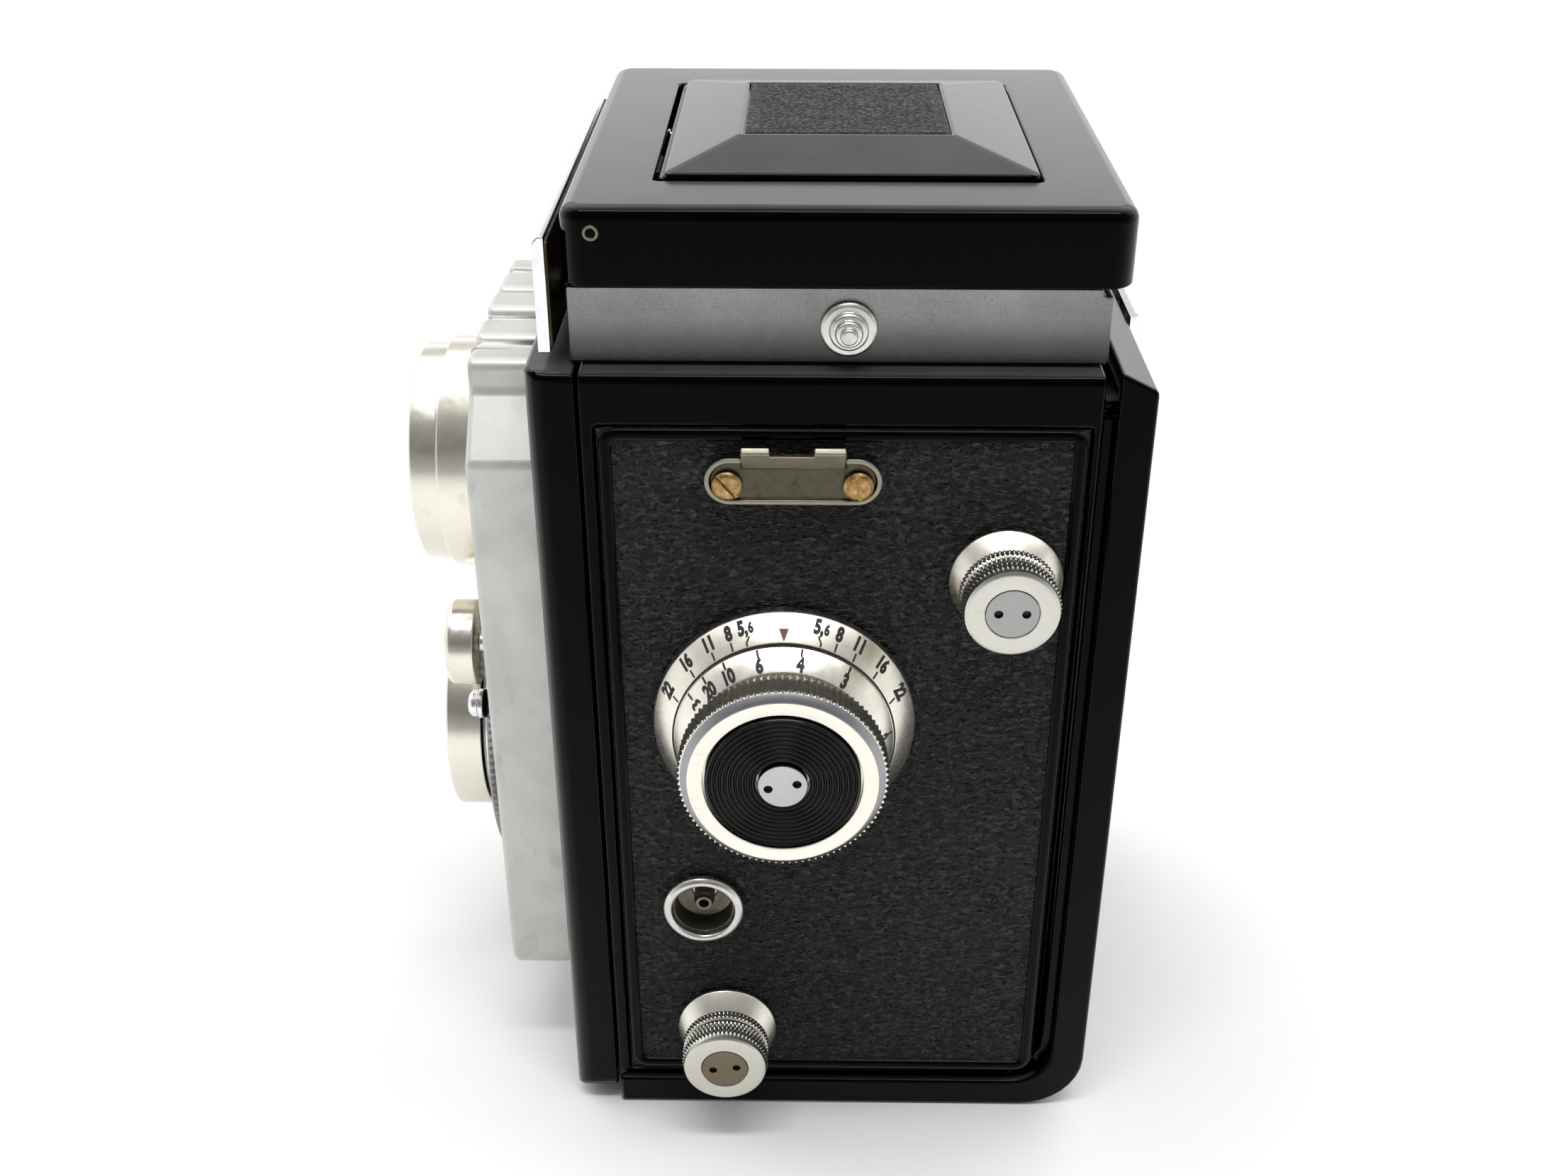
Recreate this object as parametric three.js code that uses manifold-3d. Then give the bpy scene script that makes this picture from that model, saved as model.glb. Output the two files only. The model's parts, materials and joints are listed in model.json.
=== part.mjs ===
// Twin lens reflex camera for 6 x 6 cm pictures on 120 roll film.
// Millimetres, +Z up. The lenses look along -Y and the focusing knob is on the +X side.
// The origin is on the underside, midway across the body and near the middle of its depth.

import * as THREE from 'three';
import { mergeVertices } from 'three/addons/utils/BufferGeometryUtils.js';
import { ConvexGeometry } from 'three/addons/geometries/ConvexGeometry.js';
import Module from 'manifold-3d';

const wasm = await Module();
wasm.setup();

// ---------- driving dimensions ----------

const gap = 0.3;                 // air between pieces that touch on the real camera
const roundSides = 24;           // flats on a full circle
const quarter = Math.PI / 2;

const sideFace = 39.05;          // half width over the side mouldings
const bodyFront = -32.35;
const bodyRear = 32.55;
const bodyBottom = 6.2;
const bodyTop = 122;
const innerSide = 36.4;          // inner half width of the shell
const innerFront = -29.35;
const innerTop = 118.6;

const cover = { front: -30.35, rear: 31.15, bottom: 7.1, top: 114.8, thickness: 0.5, sunk: 0.3 };
const coverSurface = sideFace - cover.sunk;
const pocketFloor = coverSurface - cover.thickness - gap;

const castingFront = -39.15;
const castingRear = -32.65;
const castingBottom = 1.8;

const panelFront = -49.45;       // front face of the sliding lens board
const panelBack = -34.2;
const panelHalf = 28.5;
const panelBottom = 16.4;
const panelShoulder = 104.6;     // where the sides turn in
const panelCrown = 115.6;
const panelPlate = 2.2;          // thickness of its front plate
const ribPitch = 9.7;
const ribHeight = 2;

const viewingZ = 93.6;           // lens axes
const takingZ = 48.45;

const focus = { y: -6.85, z: 71.9 };
const travelPerRadian = 1.178;   // lens board travel for each radian of the focusing knob
const nearTurn = 236 * Math.PI / 180;
const farTurn = 59.7 * Math.PI / 180;
const camRadius = 6;             // cam radius under the push rod at rest
const rod = { x0: 24.3, x1: 26.5, half: 1.5 };

const upperSpool = { y: 21.85, z: 93.8 };
const lowerSpool = { y: -15.45, z: 16 };
const spool = { half: 33, flange: 12.6, core: 6, bore: 2.9, boreDepth: 3 };
const keyRadius = 2.5;

const socket = { y: -18.55, z: 39.1 };
const lug = { y0: -16.95, y1: 5.45, z0: 105, z1: 111.4, rim: 0.7 };
const lugScrews = { front: -14.05, rear: 2.45, z: 107.7 };
const releaseButton = { x: 19, z: 71.7 };
const cockingPin = { x: 19, z: 12.45 };   // from the taking lens axis

const hinge = { y: -34.3, z: 3.2, half: 28 };       // back cover
const backInner = 34.25;
const backOuter = 39.15;
const backTop = 122.5;
const backBand = 4.9;
const coverWall = 1.6;

const hood = { half: 36, front: -33.4, rear: 32.9, bottom: 122.3, top: 132, wall: 1.2 };
const lid = { half: 36.9, front: -33.85, rear: 35.25, bottom: 132.3, top: 142.1, wall: 1.5 };
const lidHinge = { y: 33.7, z: 134.2, radius: 1.4 };
const lidSkirtRelief = 0.8;      // the lid's rear skirt dips this far as it swings over
const flap = { half: 25, front: -22.55, rear: 24.55, bottom: 141, edge: 142.5, top: 144.9 };
const plateau = { half: 14.2, front: -12.85, rear: 14.65 };
const sidePanel = { hinge: 32.5, leftZ: 125.6, rightZ: 127.4, thickness: 0.6 };

// ---------- solids ----------

// A closed solid from a three.js geometry: shared corners are merged, triangles without
// area are dropped, and the faces are made to point out.
function solidFrom(geometry) {
  const bare = geometry.index ? geometry.toNonIndexed() : geometry.clone();
  bare.deleteAttribute('normal');
  bare.deleteAttribute('uv');
  const merged = mergeVertices(bare, 1e-4);
  const points = merged.attributes.position;
  const corners = merged.index.array;
  const triangles = [];
  let volume = 0;
  for (let i = 0; i < corners.length; i += 3) {
    const [a, b, c] = [corners[i], corners[i + 1], corners[i + 2]];
    if (a === b || b === c || c === a) continue;
    triangles.push(a, b, c);
    const [p, q, r] = [a, b, c].map((k) => new THREE.Vector3().fromBufferAttribute(points, k));
    volume += p.dot(q.cross(r));
  }
  if (volume < 0) triangles.reverse();
  return new wasm.Manifold(new wasm.Mesh({
    numProp: 3,
    vertProperties: new Float32Array(points.array),
    triVerts: new Uint32Array(triangles),
  }));
}

function asSolid(item) {
  return item.isBufferGeometry ? solidFrom(item) : item;
}

function join(...items) {
  return items.map(asSolid).reduce((a, b) => a.add(b));
}

function cut(item, ...tools) {
  return tools.map(asSolid).reduce((a, b) => a.subtract(b), asSolid(item));
}

function common(...items) {
  return items.map(asSolid).reduce((a, b) => a.intersect(b));
}

// ---------- shapes ----------

function block(x0, x1, y0, y1, z0, z1) {
  const geometry = new THREE.BoxGeometry(x1 - x0, y1 - y0, z1 - z0);
  return geometry.translate((x0 + x1) / 2, (y0 + y1) / 2, (z0 + z1) / 2);
}

// Turned about +Z. The outline is [radius, height] pairs and starts and ends on the axis.
function turned(outline, sides = roundSides) {
  const points = outline.map(([r, h]) => new THREE.Vector2(r, h));
  return new THREE.LatheGeometry(points, sides).rotateX(quarter);
}

// Turned about +Z with a hole through it: the outline closes on itself.
function ring(outline, sides = roundSides) {
  return turned([...outline, outline[0]], sides);
}

function disc(radius, from, to, sides = roundSides) {
  return turned([[0, from], [radius, from], [radius, to], [0, to]], sides);
}

function tube(outer, inner, from, to, sides = roundSides) {
  return ring([[inner, from], [outer, from], [outer, to], [inner, to]], sides);
}

// Turns a shape that stands on +Z to point along +X, or along -Y.
function alongX(geometry, x, y, z) {
  return geometry.rotateY(quarter).translate(x, y, z);
}

function alongFront(geometry, x, y, z) {
  return geometry.rotateX(quarter).translate(x, y, z);
}

function extruded(shape, depth, curveSegments) {
  return new THREE.ExtrudeGeometry(shape, { depth, bevelEnabled: false, curveSegments });
}

// An outline drawn in Y and Z, pushed along X.
function extrudeX(shape, x0, x1, curveSegments = 4) {
  const turn = new THREE.Matrix4().makeBasis(
    new THREE.Vector3(0, 1, 0),
    new THREE.Vector3(0, 0, 1),
    new THREE.Vector3(1, 0, 0),
  );
  return extruded(shape, x1 - x0, curveSegments).applyMatrix4(turn).translate(x0, 0, 0);
}

// An outline drawn in X and Z, pushed along Y.
function extrudeY(shape, y0, y1, curveSegments = 4) {
  return extruded(shape, y1 - y0, curveSegments).rotateX(quarter).translate(0, y1, 0);
}

function extrudeZ(shape, z0, z1, curveSegments = 4) {
  return extruded(shape, z1 - z0, curveSegments).translate(0, 0, z0);
}

function polygon(points) {
  return new THREE.Shape(points.map(([a, b]) => new THREE.Vector2(a, b)));
}

// A rectangle whose four corners have their own radii, anticlockwise from the lower left.
function roundedRectangle(a0, a1, b0, b1, [r0, r1, r2, r3]) {
  const shape = new THREE.Shape();
  shape.moveTo(a0 + r0, b0);
  shape.lineTo(a1 - r1, b0);
  if (r1) shape.absarc(a1 - r1, b0 + r1, r1, -quarter, 0);
  shape.lineTo(a1, b1 - r2);
  if (r2) shape.absarc(a1 - r2, b1 - r2, r2, 0, quarter);
  shape.lineTo(a0 + r3, b1);
  if (r3) shape.absarc(a0 + r3, b1 - r3, r3, quarter, 2 * quarter);
  shape.lineTo(a0, b0 + r0);
  if (r0) shape.absarc(a0 + r0, b0 + r0, r0, 2 * quarter, 3 * quarter);
  return shape;
}

// A flat-topped box with four sloping sides, as a hipped roof.
function hipped(base, top, z0, z1) {
  const level = ({ half, front, rear }, z) => [
    new THREE.Vector3(-half, front, z),
    new THREE.Vector3(half, front, z),
    new THREE.Vector3(half, rear, z),
    new THREE.Vector3(-half, rear, z),
  ];
  return new ConvexGeometry([...level(base, z0), ...level(top, z1)]);
}

// ---------- finishes ----------

function finish(color, roughness, metalness) {
  return new THREE.MeshStandardMaterial({ color, roughness, metalness });
}

const blackEnamel = finish(0x0b0b0c, 0.18, 0);
const blackLeather = finish(0x141415, 0.6, 0);
const greyPaint = finish(0xb4b6b2, 0.45, 0.4);
const satinAluminium = finish(0x8d8e8b, 0.4, 0.9);
const turnedAluminium = finish(0xd6d2c8, 0.3, 0.9);
const chromePlate = finish(0xd8d9da, 0.12, 1);
const steel = finish(0x8f8f8c, 0.35, 1);
const brassFinish = finish(0xa8814a, 0.4, 1);
const blackPlastic = finish(0x101011, 0.35, 0);
const mattBlack = finish(0x161616, 0.8, 0);
const clearGlass = finish(0xaab4c0, 0.05, 0);
const frostedGlass = finish(0xcfd4d4, 0.5, 0);
const silvered = finish(0xe8eaec, 0.03, 1);

// ---------- assembly ----------

const camera = new THREE.Group();

function piece(name, item, material, parent = camera) {
  const { vertProperties, triVerts } = asSolid(item).getMesh();
  const geometry = new THREE.BufferGeometry();
  geometry.setAttribute('position', new THREE.BufferAttribute(vertProperties, 3));
  geometry.setIndex(new THREE.BufferAttribute(triVerts, 1));
  geometry.computeVertexNormals();
  const mesh = new THREE.Mesh(geometry, material);
  mesh.name = name;
  parent.add(mesh);
}

// A place on the side of the camera whose own +Z points out of that side.
function sidePlace(side, x, y, z) {
  const place = new THREE.Group();
  place.position.set(side * x, y, z);
  place.rotation.y = side * quarter;
  camera.add(place);
  return place;
}

// A place on the lens board whose own +Z points forward and +Y up.
function frontPlace(x, z) {
  const place = new THREE.Group();
  place.position.set(x, panelFront, z);
  place.rotation.x = quarter;
  camera.add(place);
  return place;
}

// ---------- body ----------

// Holes that pass through a side wall and its covering.
function sideHoles(side) {
  const holes = [
    [lugScrews.front, lugScrews.z, 1.2],
    [lugScrews.rear, lugScrews.z, 1.2],
  ];
  if (side > 0) {
    holes.push([focus.y, focus.z, 2.6]);
    holes.push([upperSpool.y, upperSpool.z, 4.7]);
    holes.push([lowerSpool.y, lowerSpool.z, 4.7]);
    holes.push([socket.y, socket.z, 5.2]);
  } else {
    holes.push([upperSpool.y, upperSpool.z, 2.9]);
  }
  const depth = 8;
  return holes.map(([y, z, r]) => alongX(disc(r, -depth, depth, 16), side * 37, y, z));
}

function addShell() {
  const sideOutline = roundedRectangle(bodyFront, bodyRear, bodyBottom, bodyTop, [0, 7, 0, 0]);
  const frontOutline = roundedRectangle(-sideFace, sideFace, 0, bodyTop, [0, 0, 1.5, 1.5]);
  const outside = common(
    extrudeX(sideOutline, -sideFace, sideFace),
    extrudeY(frontOutline, bodyFront - 1, bodyRear + 1, 4),
  );
  const lipOutline = new THREE.Shape();
  lipOutline.moveTo(-30, 3.1);
  lipOutline.lineTo(bodyRear - 5.5, 3.1);
  lipOutline.absarc(bodyRear - 5.5, 11.6, 8.5, -quarter, 0);
  lipOutline.lineTo(bodyRear + 3, 116);
  lipOutline.lineTo(29, 116);
  lipOutline.lineTo(29, 14);
  lipOutline.lineTo(22, 9);
  lipOutline.lineTo(-30, 9);
  const pocket = (side) => {
    const edge = 2.5 + gap;
    const outline = roundedRectangle(
      cover.front - gap, cover.rear + gap, cover.bottom - gap, cover.top + gap, [0, edge, 0, 0],
    );
    return side > 0
      ? extrudeX(outline, pocketFloor, sideFace + 1, 3)
      : extrudeX(outline, -sideFace - 1, -pocketFloor, 3);
  };
  const hollow = block(-innerSide, innerSide, innerFront, bodyRear + 8, -1, innerTop);
  const viewWindow = block(-26, 26, -29, 17.5, innerTop - 1, bodyTop + 1);
  const lensHoles = [
    alongFront(disc(15.9, -5, 5), 0, bodyFront, viewingZ),
    alongFront(disc(16.2, -5, 5), 0, bodyFront, takingZ),
  ];
  const rodSlot = block(
    rod.x0 - gap, rod.x1 + gap, bodyFront - 2, innerFront + 2,
    focus.z - rod.half - gap, focus.z + rod.half + gap,
  );
  const walls = cut(outside, hollow, viewWindow, ...lensHoles, rodSlot, pocket(1), pocket(-1));
  const shell = join(
    walls,
    extrudeX(lipOutline, innerSide - 0.4, innerSide + 0.6),
    extrudeX(lipOutline, -innerSide - 0.6, -innerSide + 0.4),
    block(-innerSide - 0.2, innerSide + 0.2, 31, bodyRear + 2.95, 116.6, 117.9),
    alongX(disc(keyRadius, -innerSide - 0.4, -31, 24), 0, lowerSpool.y, lowerSpool.z),
  );
  piece('body_shell', cut(shell, ...sideHoles(1), ...sideHoles(-1)), blackEnamel);
}

function addCoverings() {
  const outline = roundedRectangle(
    cover.front, cover.rear, cover.bottom, cover.top, [0, 2.5, 0, 0],
  );
  const inside = coverSurface - cover.thickness;
  piece(
    'leatherette_left',
    cut(extrudeX(outline, inside, coverSurface, 3), ...sideHoles(1)),
    blackLeather,
  );
  piece(
    'leatherette_right',
    cut(extrudeX(outline, -coverSurface, -inside, 3), ...sideHoles(-1)),
    blackLeather,
  );
}

// The outline of the lens board seen from the front, with a ribbed crown. It is also
// the opening that the board slides in, once grown by the running gap.
function panelForm(grow, y0, y1) {
  const half = panelHalf + grow;
  const base = panelBottom - grow;
  const corner = 5;
  const outline = new THREE.Shape();
  outline.moveTo(-half + corner, base);
  outline.lineTo(half - corner, base);
  outline.absarc(half - corner, base + corner, corner, -quarter, 0);
  outline.lineTo(half, panelShoulder + grow / 2);
  outline.lineTo(20.6 + grow, 113.1 + grow / 2);
  outline.lineTo(18 + grow / 2, panelCrown + grow);
  outline.lineTo(-18 - grow / 2, panelCrown + grow);
  outline.lineTo(-20.6 - grow, 113.1 + grow / 2);
  outline.lineTo(-half, panelShoulder + grow / 2);
  outline.lineTo(-half, base + corner);
  outline.absarc(-half + corner, base + corner, corner, 2 * quarter, 3 * quarter);
  const ribs = [-2, -1, 0, 1, 2].map((step) => {
    const outer = Math.abs(step) === 2;
    const middle = outer ? Math.sign(step) * 18.5 : step * ribPitch;
    const wide = (outer ? 2.8 : 3.8) + grow;
    const foot = outer ? 111 : 113;
    const top = panelCrown + ribHeight - Math.abs(step) * 0.5 + grow;
    return extrudeY(
      roundedRectangle(middle - wide, middle + wide, foot, top, [0, 0, 1.6, 1.6]), y0, y1, 3,
    );
  });
  return join(extrudeY(outline, y0, y1, 4), ...ribs);
}

function addFrontCasting() {
  const plan = roundedRectangle(-sideFace, sideFace, castingFront, castingRear, [3, 3, 0, 0]);
  const face = roundedRectangle(-sideFace, sideFace, castingBottom, bodyTop, [3, 3, 1.5, 1.5]);
  const outside = common(
    extrudeZ(plan, castingBottom, bodyTop, 4),
    extrudeY(face, castingFront - 1, castingRear + 1, 4),
  );
  const groove = block(-hinge.half, hinge.half, hinge.y - 2.5, castingRear + 1, 0, hinge.z + 2.6);
  const pinHole = alongX(disc(1.1, -hinge.half - 2.5, hinge.half + 2.5, 16), 0, hinge.y, hinge.z);
  const opening = panelForm(0.4, castingFront - 2, castingRear + 1);
  piece('front_casting', cut(outside, opening, groove, pinHole), blackEnamel);
  piece(
    'back_hinge_pin',
    alongX(disc(0.8, -hinge.half - 2, hinge.half + 2, 16), 0, hinge.y, hinge.z),
    steel,
  );
}

// Exposure tunnel from the taking lens to the film gate.
function addLightChamber() {
  const y0 = innerFront + gap;
  const y1 = 30.3;
  const funnel = (front, rear, from, to) => {
    const corners = (half, y) => [-1, 1].flatMap((u) => [-1, 1].map(
      (v) => new THREE.Vector3(u * half, y, takingZ + v * half),
    ));
    return new ConvexGeometry([...corners(front, from), ...corners(rear, to)]);
  };
  const gate = block(-33.5, 33.5, y1 - 0.1, y1 + 1.5, takingZ - 31, takingZ + 31);
  piece(
    'light_chamber',
    cut(join(funnel(13.5, 29.5, y0, y1), gate), funnel(11.9, 28.1, y0 - 0.5, y1 + 2)),
    mattBlack,
  );
}

function addFinderOptics() {
  const mirror = new THREE.BoxGeometry(47, 57, 2).translate(0, 0, -1).rotateX(quarter / 2);
  piece('mirror', mirror.translate(0, -6.25, viewingZ), silvered);
  piece('ground_glass', block(-27.5, 27.5, -31.5, 19, bodyTop + 0.4, bodyTop + 2.2), frostedGlass);
}

// ---------- film transport ----------

function addSpool(name, { y, z }) {
  const { half, flange, core, bore, boreDepth } = spool;
  const flangeInside = half - 1.1;
  const outline = [
    [0, boreDepth - half], [bore, boreDepth - half], [bore, -half], [flange, -half],
    [flange, -flangeInside], [core, -flangeInside], [core, flangeInside],
    [flange, flangeInside], [flange, half], [bore, half], [bore, half - boreDepth],
    [0, half - boreDepth],
  ];
  piece(name, alongX(turned(outline), 0, y, z), mattBlack);
}

function addRoller(name, z) {
  const outline = [
    [0, -35.6], [0.7, -35.6], [0.7, -33.5], [1.5, -33.5],
    [1.5, 33.5], [0.7, 33.5], [0.7, 35.6], [0, 35.6],
  ];
  piece(name, alongX(turned(outline, 12), 0, 29.5, z), steel);
}

// A cone on the side, a sliding sleeve in the wall and the knob whose key turns the spool.
function addSpoolKnob(name, { y, z }) {
  const place = sidePlace(1, sideFace, y, z);
  const cone = [[4.7, 0], [7.4, 0], [7.4, 0.5], [5.4, 2.9], [4.7, 2.9]];
  piece(`${name}_knob_flange`, ring(cone), turnedAluminium, place);
  piece(`${name}_knob_sleeve`, tube(4.4, 2.8, -4.6, 2.6, 16), steel, place);
  const outline = [
    [0, -8], [keyRadius, -8], [keyRadius, 3.4], [6.4, 3.4], [6.4, 5.0], [6.0, 5.2], [6.0, 5.5],
    [6.4, 5.7], [6.4, 8.6], [5.9, 9.1], [0, 9.1],
  ];
  const spannerHoles = [-1.9, 1.9].map((at) => disc(0.6, 8.3, 10, 8).translate(0, at, 0));
  piece(`${name}_spool_knob`, cut(turned(outline), ...spannerHoles), turnedAluminium, place);
}

function addWindKnob() {
  const place = sidePlace(-1, sideFace, upperSpool.y, upperSpool.z);
  const base = [[3.2, 0], [12.6, 0], [12.6, 0.8], [11.4, 2.2], [3.2, 2.2]];
  piece('wind_knob_flange', ring(base), turnedAluminium, place);
  const outline = [
    [0, -8], [keyRadius, -8], [keyRadius, 2.5], [11, 2.5], [11, 10.4], [10.2, 11.4],
    [7.6, 11.4], [7.2, 11], [0, 11],
  ];
  piece('wind_knob', turned(outline), turnedAluminium, place);
}

// ---------- focusing ----------

// A disc whose radius grows evenly with angle, so that the push rod moves by the same
// amount for every degree of the knob.
function focusCam() {
  const steps = 32;
  const from = 2 * quarter - nearTurn;
  const to = 2 * quarter + farTurn;
  const points = [];
  for (let i = 0; i <= steps; i += 1) {
    const angle = from + (to - from) * i / steps;
    const radius = camRadius + travelPerRadian * (2 * quarter - angle);
    points.push([focus.y + radius * Math.cos(angle), focus.z + radius * Math.sin(angle)]);
  }
  return extrudeX(polygon(points), rod.x0, rod.x1);
}

function addFocusing() {
  const place = sidePlace(1, sideFace, focus.y, focus.z);
  const scale = [[2.6, 0], [17.7, 0], [17.7, 1.4], [14.9, 4.9], [2.6, 4.9]];
  piece('depth_scale_ring', ring(scale, 40), turnedAluminium, place);
  const distances = [[2.6, 5.2], [14.65, 5.2], [12.4, 8], [2.6, 8]];
  piece('distance_ring', ring(distances, 32), turnedAluminium, place);
  const knob = [
    [2.3, 8.3], [11.4, 8.3], [11.4, 10.2], [13.7, 10.2], [13.7, 14.3], [12.9, 15.1],
    [10.4, 15.1], [10.4, 13.6], [2.3, 13.6],
  ];
  piece('focus_knob', ring(knob, 36), turnedAluminium, place);
  const insert = [[3.5, 13.9], [10.1, 13.9], [10.1, 15.1], [9.8, 15.4], [3.5, 15.4]];
  piece('focus_knob_insert', ring(insert), blackPlastic, place);
  const spannerHoles = [-1.9, 1.9].map((at) => disc(0.55, 15, 16.5, 8).translate(0, at, 0));
  piece('focus_knob_cap', cut(disc(3.2, 13.9, 15.75, 20), ...spannerHoles), turnedAluminium, place);
  const shaft = alongX(disc(2, 22, sideFace + 13.3, 20), 0, focus.y, focus.z);
  piece('focus_shaft', join(shaft, focusCam()), steel);
  const rodStart = panelFront + panelPlate + gap;
  const rodEnd = focus.y - camRadius - 0.35;
  piece(
    'focus_push_rod',
    block(rod.x0, rod.x1, rodStart, rodEnd, focus.z - rod.half, focus.z + rod.half),
    steel,
  );
}

// ---------- lens board ----------

function addLensBoard() {
  const inset = 1.7;
  const hollow = new THREE.Shape();
  const half = panelHalf - inset;
  hollow.moveTo(-half, panelBottom + inset);
  hollow.lineTo(half, panelBottom + inset);
  hollow.lineTo(half, panelShoulder - 1);
  hollow.lineTo(18.5, 112.2);
  hollow.lineTo(16, panelCrown - inset);
  hollow.lineTo(-16, panelCrown - inset);
  hollow.lineTo(-18.5, 112.2);
  hollow.lineTo(-half, panelShoulder - 1);
  const holes = [
    alongFront(disc(14.3, -5, 5), 0, panelFront, viewingZ),
    alongFront(disc(15.9, -5, 5), 0, panelFront, takingZ),
    alongFront(disc(1.9, -5, 5, 16), releaseButton.x, panelFront, releaseButton.z),
  ];
  const inside = extrudeY(hollow, panelFront + panelPlate, panelBack + 1);
  piece('front_panel', cut(panelForm(0, panelFront, panelBack), inside, ...holes), greyPaint);
}

// A lens element: a flat back, a short edge and a domed front.
function element(radius, back, edge, crown) {
  const steps = 4;
  const outline = [[0, back], [radius, back]];
  for (let i = 0; i <= steps; i += 1) {
    const angle = quarter * i / steps;
    outline.push([radius * Math.cos(angle), edge + (crown - edge) * Math.sin(angle)]);
  }
  outline[outline.length - 1][0] = 0;
  return turned(outline, 20);
}

function addViewingLens() {
  const place = frontPlace(0, viewingZ);
  const barrel = [
    [11.6, -8], [13.9, -8], [13.9, gap], [18.3, gap], [18.3, 1.2], [17.15, 1.5], [17.15, 6.5],
    [16.17, 6.8], [16.17, 10.5], [15.8, 10.8], [14.9, 10.8], [14.7, 8.2], [13.2, 6.8],
    [13.2, -1], [11.6, -1],
  ];
  piece('viewing_lens_barrel', ring(barrel, 32), turnedAluminium, place);
  piece('viewing_lens_glass', element(12.9, -0.6, 2.6, 5.4), clearGlass, place);
}

function addTakingLens() {
  const place = frontPlace(0, takingZ);
  const housing = [
    [12.6, -12], [15.6, -12], [15.6, 4.1], [12.6, 4.1], [12.6, -3], [9.5, -3], [9.5, -4],
    [12.6, -4],
  ];
  piece('shutter_housing', ring(housing), satinAluminium, place);
  const speeds = [[15.9, 0.3], [22.9, 0.3], [22.9, 1.8], [22.4, 2.2], [15.9, 2.2]];
  piece('speed_ring', ring(speeds, 32), satinAluminium, place);
  const front = [
    [8.8, 4.4], [16, 4.4], [16, 9.5], [15.6, 9.86], [14.6, 9.86], [13.6, 8.6], [9.6, 7],
    [8.8, 6.6],
  ];
  piece('taking_lens_ring', ring(front, 32), turnedAluminium, place);
  piece('taking_lens_glass', element(8.5, 2.6, 6, 7.8), clearGlass, place);

  const reach = Math.hypot(cockingPin.x, cockingPin.z);
  const arm = roundedRectangle(16.5, reach + 2.2, -2.2, 2.2, [0, 2.2, 2.2, 0]);
  const armSolid = extrudeZ(arm, 2.5, 3.3, 4).rotateZ(Math.atan2(cockingPin.z, cockingPin.x));
  const pin = turned([[0, 2.6], [2.05, 2.6], [2.05, 4.1], [1.5, 4.7], [0, 4.8]], 16);
  piece(
    'cocking_lever',
    join(
      tube(17.8, 15.9, 2.5, 3.3),
      cut(armSolid, disc(15.9, 2, 4)),
      pin.translate(cockingPin.x, cockingPin.z, 0),
    ),
    chromePlate,
    place,
  );
}

function addReleaseButton() {
  const outline = [
    [0, -6], [1.5, -6], [1.5, 2.2], [6.3, 2.2], [6.3, 5.7], [5.7, 6.4], [1.4, 6.4],
    [1.4, 3.4], [0, 3.4],
  ];
  const place = frontPlace(releaseButton.x, releaseButton.z);
  piece('release_button', turned(outline, 24), turnedAluminium, place);
}

// ---------- side fittings ----------

function addSyncSocket() {
  const place = sidePlace(1, sideFace, socket.y, socket.z);
  const cup = [
    [0, -5], [4.9, -5], [4.9, 0], [5.84, 0], [5.84, 0.9], [5.3, 1.4], [4.75, 1.4],
    [4.47, 1], [4.47, -4], [0, -4],
  ];
  piece('sync_socket', turned(cup, 24), steel, place);
  piece('sync_socket_pin', tube(1.49, 0.72, -3.7, -0.6, 12), steel, place);
}

// Strap lug: a screwed obround plate with a raised rim and a notched tab bent outward.
function addStrapLug(side, name) {
  const thickness = 0.9;
  const radius = (lug.z1 - lug.z0) / 2;
  const corners = (r) => [r, r, r, r];
  const plate = roundedRectangle(lug.y0, lug.y1, lug.z0, lug.z1, corners(radius));
  const well = roundedRectangle(
    lug.y0 + lug.rim, lug.y1 - lug.rim, lug.z0 + lug.rim, lug.z1 - lug.rim, corners(radius - lug.rim),
  );
  const x = sideFace;
  const tab = polygon([[x + 0.2, 110.2], [x + 1.2, 109.9], [x + 3.1, 112.8], [x + 2.4, 113.5]]);
  const holes = [lugScrews.front, lugScrews.rear].map(
    (y) => alongX(disc(1.2, -1, 3, 16), x, y, lugScrews.z),
  );
  const body = cut(
    join(
      cut(extrudeX(plate, x, x + thickness + 0.5), extrudeX(well, x + thickness, x + 2)),
      extrudeY(tab, -12.25, 0.85),
    ),
    block(x, x + 4, -8.65, -3.15, 112.3, 114),
    ...holes,
  );
  const place = new THREE.Group();
  place.rotation.z = side > 0 ? 0 : Math.PI;
  place.position.y = side > 0 ? 0 : lug.y0 + lug.y1;
  camera.add(place);
  piece(`strap_lug_${name}`, body, steel, place);
  for (const [end, y] of [['front', lugScrews.front], ['rear', lugScrews.rear]]) {
    const head = [
      [0, -2.2], [0.9, -2.2], [0.9, 1.2], [1.95, 1.2], [1.95, 1.6], [1.5, 2], [0, 2.1],
    ];
    const screw = cut(turned(head, 12), block(-0.25, 0.25, -3, 3, 1.6, 3));
    piece(`lug_screw_${name}_${end}`, screw, brassFinish, sidePlace(side, sideFace, y, lugScrews.z));
  }
}

// ---------- back ----------

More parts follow.
